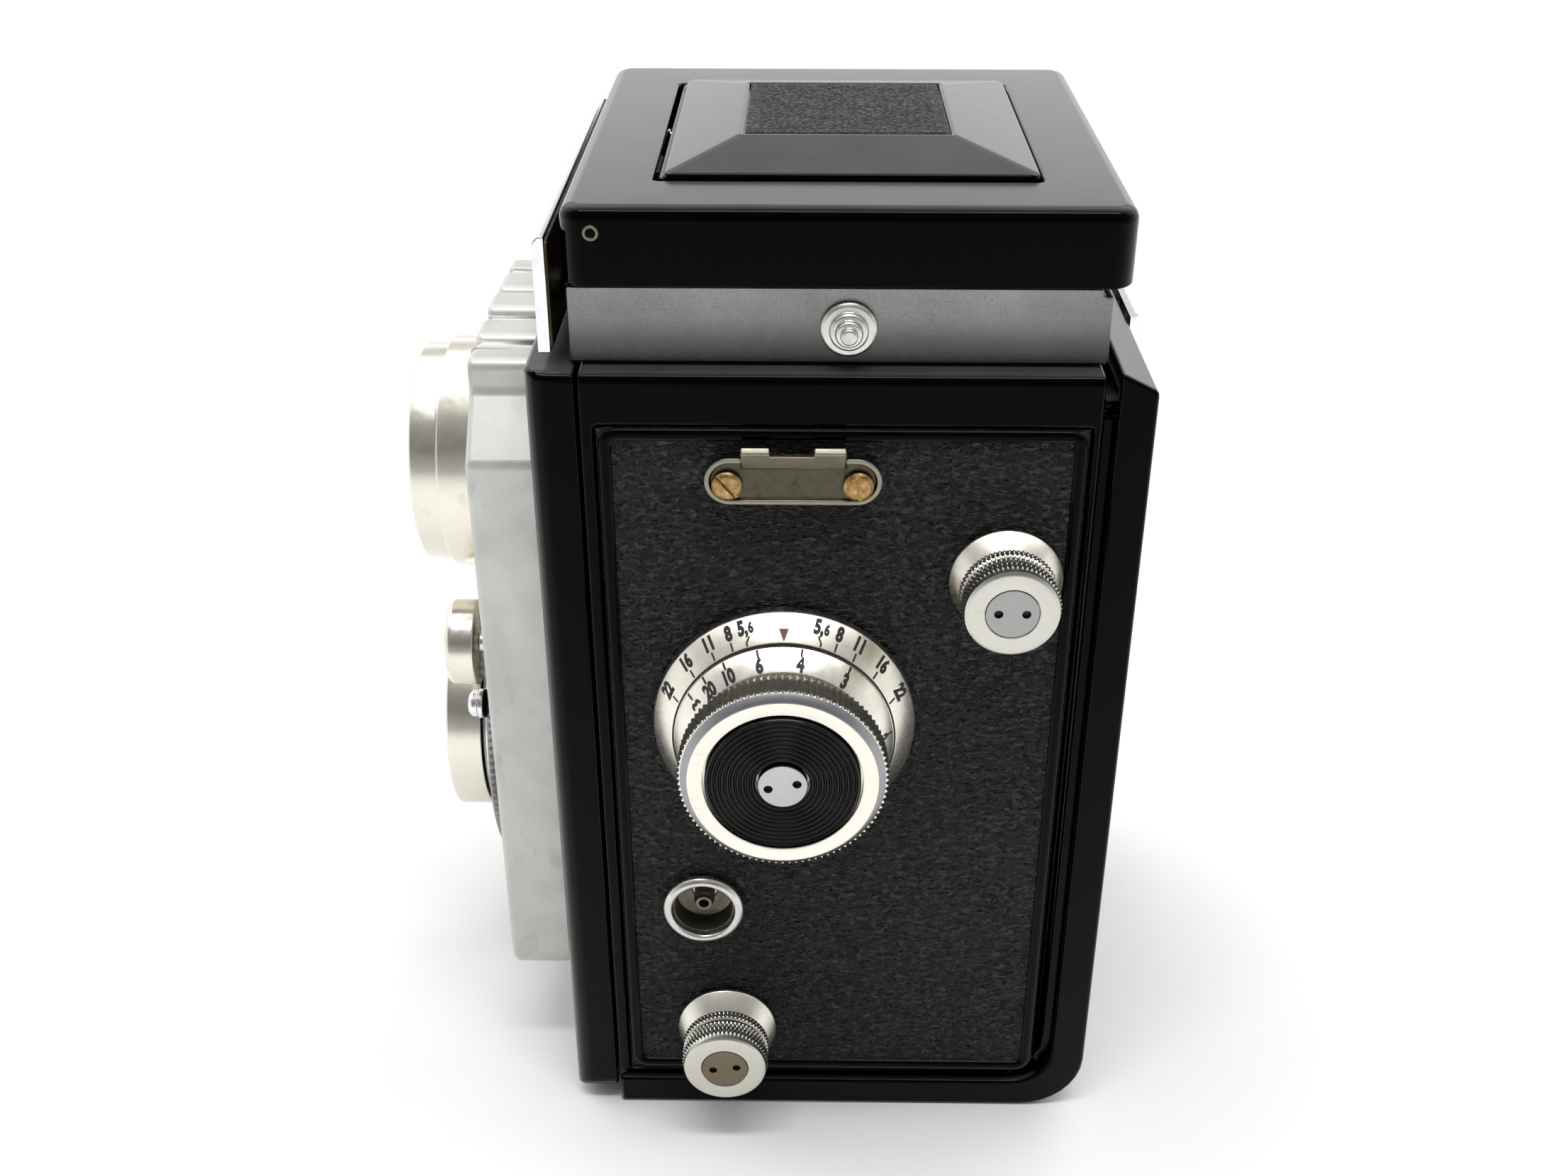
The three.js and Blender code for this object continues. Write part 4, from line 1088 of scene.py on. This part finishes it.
def make_flap():
    low, high = box_mm("finder_flap")
    inlay_low, inlay_high = box_mm("flap_inlay")
    rim = 0.6
    top_low, top_high = inlay_low - Vector((rim, rim, 0)), inlay_high + Vector((rim, rim, 0))
    under_low, under_high = top_low + Vector((1, 1, 0)), top_high - Vector((1, 1, 0))
    shoulder = low.z + 1.85
    lip_low = low + Vector((0, 0.55, 0))
    levels = [
        inset_level(under_low, under_high, 0, high.z - 1.5, 0.4),
        inset_level(low, high, 1.8, low.z, 0.4),
        inset_level(low, high, 0.25, low.z, 1.0),
        inset_level(low, high, 0, low.z + 0.25, 1.2),
        inset_level(low, high, 0, low.z + 1.05, 1.2),
        inset_level(lip_low, high, 0, shoulder - 0.4, 1.2),
        inset_level(lip_low, high, 0.1, shoulder - 0.15, 1.1),
        inset_level(lip_low, high, 0.45, shoulder + 0.05, 0.9),
        inset_level(top_low, top_high, -0.6, high.z - 0.14, 0.9),
        inset_level(top_low, top_high, -0.2, high.z - 0.02, 0.7),
        inset_level(top_low, top_high, 0.1, high.z, 0.5),
        inset_level(top_low, top_high, 0.35, high.z - 0.12, 0.3),
        inset_level(top_low, top_high, 0.38, high.z - 0.6, 0.3),
    ]
    stands_for(loft("flap", levels, ENAMEL), "finder_flap")


def make_hood():
    refined("hood_base", "hood_box", HOOD_SATIN, 0.35, keep=lambda c: c.z < 133)
    centre = middle("hood_side_stud")
    half = box_mm("hood_base")[1].x
    spot = place(Vector((half, centre.y, centre.z)), SIDE_AXIS)
    stud = rounded([
        (0, -2), (1.2, -2), (1.2, 0.3), (3.5, 0.3), (3.5, 0.7), (3.1, 1.0), (2.4, 1.05), (2.4, 1.6),
        (2.1, 1.85), (1.7, 1.9), (1.7, 2.4), (1.5, 2.65), (1.05, 2.7), (1.05, 3.3), (0.8, 3.5),
        (0, 3.5),
    ], 0.12)
    stands_for(turned("hood_stud", stud, NICKEL, spot, 96), "hood_side_stud")
    refined("hood_front_plate", "hood_shield", CHROME, 0.3)
    low, high = box_mm("hood_front_plate")
    front = box_mm("hood_base")[0].y
    backing = slab("hood_shield_backing", (low.x + 0.6, high.y + 0.02, low.z + 0.5),
                   (high.x - 0.6, front - 0.75, high.z - 0.9), SHELLAC, 0.15)
    goes_with(backing, "hood_front_plate")
    make_lid()
    make_flap()
    lid_side = box_mm("hood_lid")[1].x
    rivet_y, rivet_z = -29.9, 139.0
    rivet = rounded([
        (0.55, -0.3), (0.98, -0.3), (0.98, 0.5), (0.86, 0.58), (0.66, 0.58), (0.55, 0.4),
    ], 0.08)
    for side in (-1, 1):
        spot = place(Vector((side * (lid_side - 0.5), rivet_y, rivet_z)), SIDE_AXIS * side)
        goes_with(turned(f"lid_rivet_{side + 1}", rivet, DARK_METAL, spot, 32), "hood_lid")
    for node in ("hood_panel_left", "hood_panel_right"):
        refined(node, node.replace("hood_panel", "shade"), MATT, 0.12, 2)
    refined("magnifier_frame", "magnifier_mount", SATIN, 0.2, 2)
    centre = middle("magnifier_lens")
    dome = rounded([
        (0, 134.6), (6, 134.9), (10.7, 135.6), (10.7, 136.9), (6, 137.6), (0, 137.9),
    ], 2.0, 6)
    spot = Matrix.Translation((centre.x, centre.y, 0))
    lens = turned("magnifier_glass", dome, LENS_GLASS, spot, 96)
    stands_for(lens, "magnifier_lens")


def make_base_fittings():
    centre = middle("tripod_bush")
    spot = Matrix.Translation((centre.x, centre.y, 0))
    outline = [(0, 6), (3, 6)]
    pitch = 0.38
    for k in range(15):
        height = 5.8 - k * pitch
        outline += [(3.25, height), (3.0, height - pitch / 2)]
    outline += [(3.35, 0.3), (3.5, 0.15), (6.8, 0.15), (7, 0.35), (7, 7.5), (0, 7.5)]
    stands_for(turned("tripod_socket", outline, NICKEL, spot, 96), "tripod_bush")


# ---------- light, floor and camera ----------

def make_floor():
    f = Finish("floor_paper", (0.86, 0.86, 0.86), 0.75, Specular_IOR_Level=0.1)
    f.color(f.ramp(f.noise(0.02, 3), [(0.3, 0.85), (0.7, 0.88)]))
    size = 20000
    floor = make("floor", [(-size, -size, 0), (size, -size, 0), (size, size, 0), (-size, size, 0)],
                 [(0, 1, 2, 3)], f.material)


def area_light(name, location, target, size, power):
    light = bpy.data.lights.new(name, "AREA")
    light.shape = "RECTANGLE"
    light.size, light.size_y = size
    light.energy = power
    obj = bpy.data.objects.new(name, light)
    obj.location = location
    obj.rotation_euler = (Vector(target) - Vector(location)).to_track_quat("-Z", "Y").to_euler()
    bpy.context.collection.objects.link(obj)


def soft_sun(name, direction, strength, spread):
    light = bpy.data.lights.new(name, "SUN")
    light.energy = strength
    light.angle = math.radians(spread)
    obj = bpy.data.objects.new(name, light)
    obj.rotation_euler = Vector(direction).to_track_quat("Z", "Y").to_euler()
    bpy.context.collection.objects.link(obj)


def make_light():
    """Pale room, darker on the camera's side, with soft light from above and behind."""
    area_light("overhead", (0.25, 0.0, 0.9), (0, 0, 0.07), (0.6, 0.09), 3.4)
    soft_sun("soft_left", (-0.45, -0.75, 1.0), 1.15, 60)
    soft_sun("soft_right", (-0.45, 0.8, 1.0), 1.0, 60)
    world = bpy.data.worlds.new("studio")
    world.use_nodes = True
    nodes, links = world.node_tree.nodes, world.node_tree.links
    coords = nodes.new("ShaderNodeTexCoord")
    parts = nodes.new("ShaderNodeSeparateXYZ")
    links.new(coords.outputs["Generated"], parts.inputs[0])
    toward_camera = [(0.0, 1.0), (0.5, 0.85), (0.75, 0.45), (1.0, 0.25)]
    upward = [
        (0.0, 1.0), (0.5, 1.0), (0.57, 1.6), (0.63, 1.2), (0.68, 0.65), (0.8, 0.75), (1.0, 0.9),
    ]
    ramps = []
    for axis, stops in ((0, toward_camera), (2, upward)):
        spread = nodes.new("ShaderNodeMapRange")
        spread.inputs["From Min"].default_value = -1
        links.new(parts.outputs[axis], spread.inputs["Value"])
        ramp = nodes.new("ShaderNodeValToRGB")
        set_stops(ramp.color_ramp, stops)
        links.new(spread.outputs["Result"], ramp.inputs["Fac"])
        ramps.append(ramp.outputs["Color"])
    product = nodes.new("ShaderNodeMath")
    product.operation = "MULTIPLY"
    links.new(ramps[0], product.inputs[0])
    links.new(ramps[1], product.inputs[1])
    background = nodes["Background"]
    background.inputs["Color"].default_value = (1, 1, 1, 1)
    links.new(product.outputs[0], background.inputs["Strength"])
    bpy.context.scene.world = world
    bpy.context.scene.view_settings.view_transform = "Standard"


def make_camera():
    """The view of the photo. Its place is in metres."""
    place_of_eye = Vector((0.234925, -0.004331, 0.202369))
    forward = Vector((-0.8717, -0.0114, -0.4898)).normalized()
    roll = math.radians(0.042)
    data = bpy.data.cameras.new("view")
    data.sensor_width = 36
    data.lens = 39.60
    data.clip_start = 0.01
    right = forward.cross(UP).normalized()
    up = right.cross(forward)
    across = right * math.cos(roll) + up * math.sin(roll)
    above = up * math.cos(roll) - right * math.sin(roll)
    obj = bpy.data.objects.new("view", data)
    turn = Matrix((across, above, -forward)).transposed().to_4x4()
    obj.matrix_world = Matrix.Translation(place_of_eye) @ turn
    bpy.context.collection.objects.link(obj)
    bpy.context.scene.camera = obj


make_coverings()
make_body()
make_latch()
make_spool_knob("upper", CAP_GREY, 0)
make_spool_knob("lower", CAP_BROWN, 8)
make_wind_knob()
make_focus_dial()
make_side_fittings()
make_lens_board()
make_hood()
make_base_fittings()
make_floor()
make_light()
make_camera()
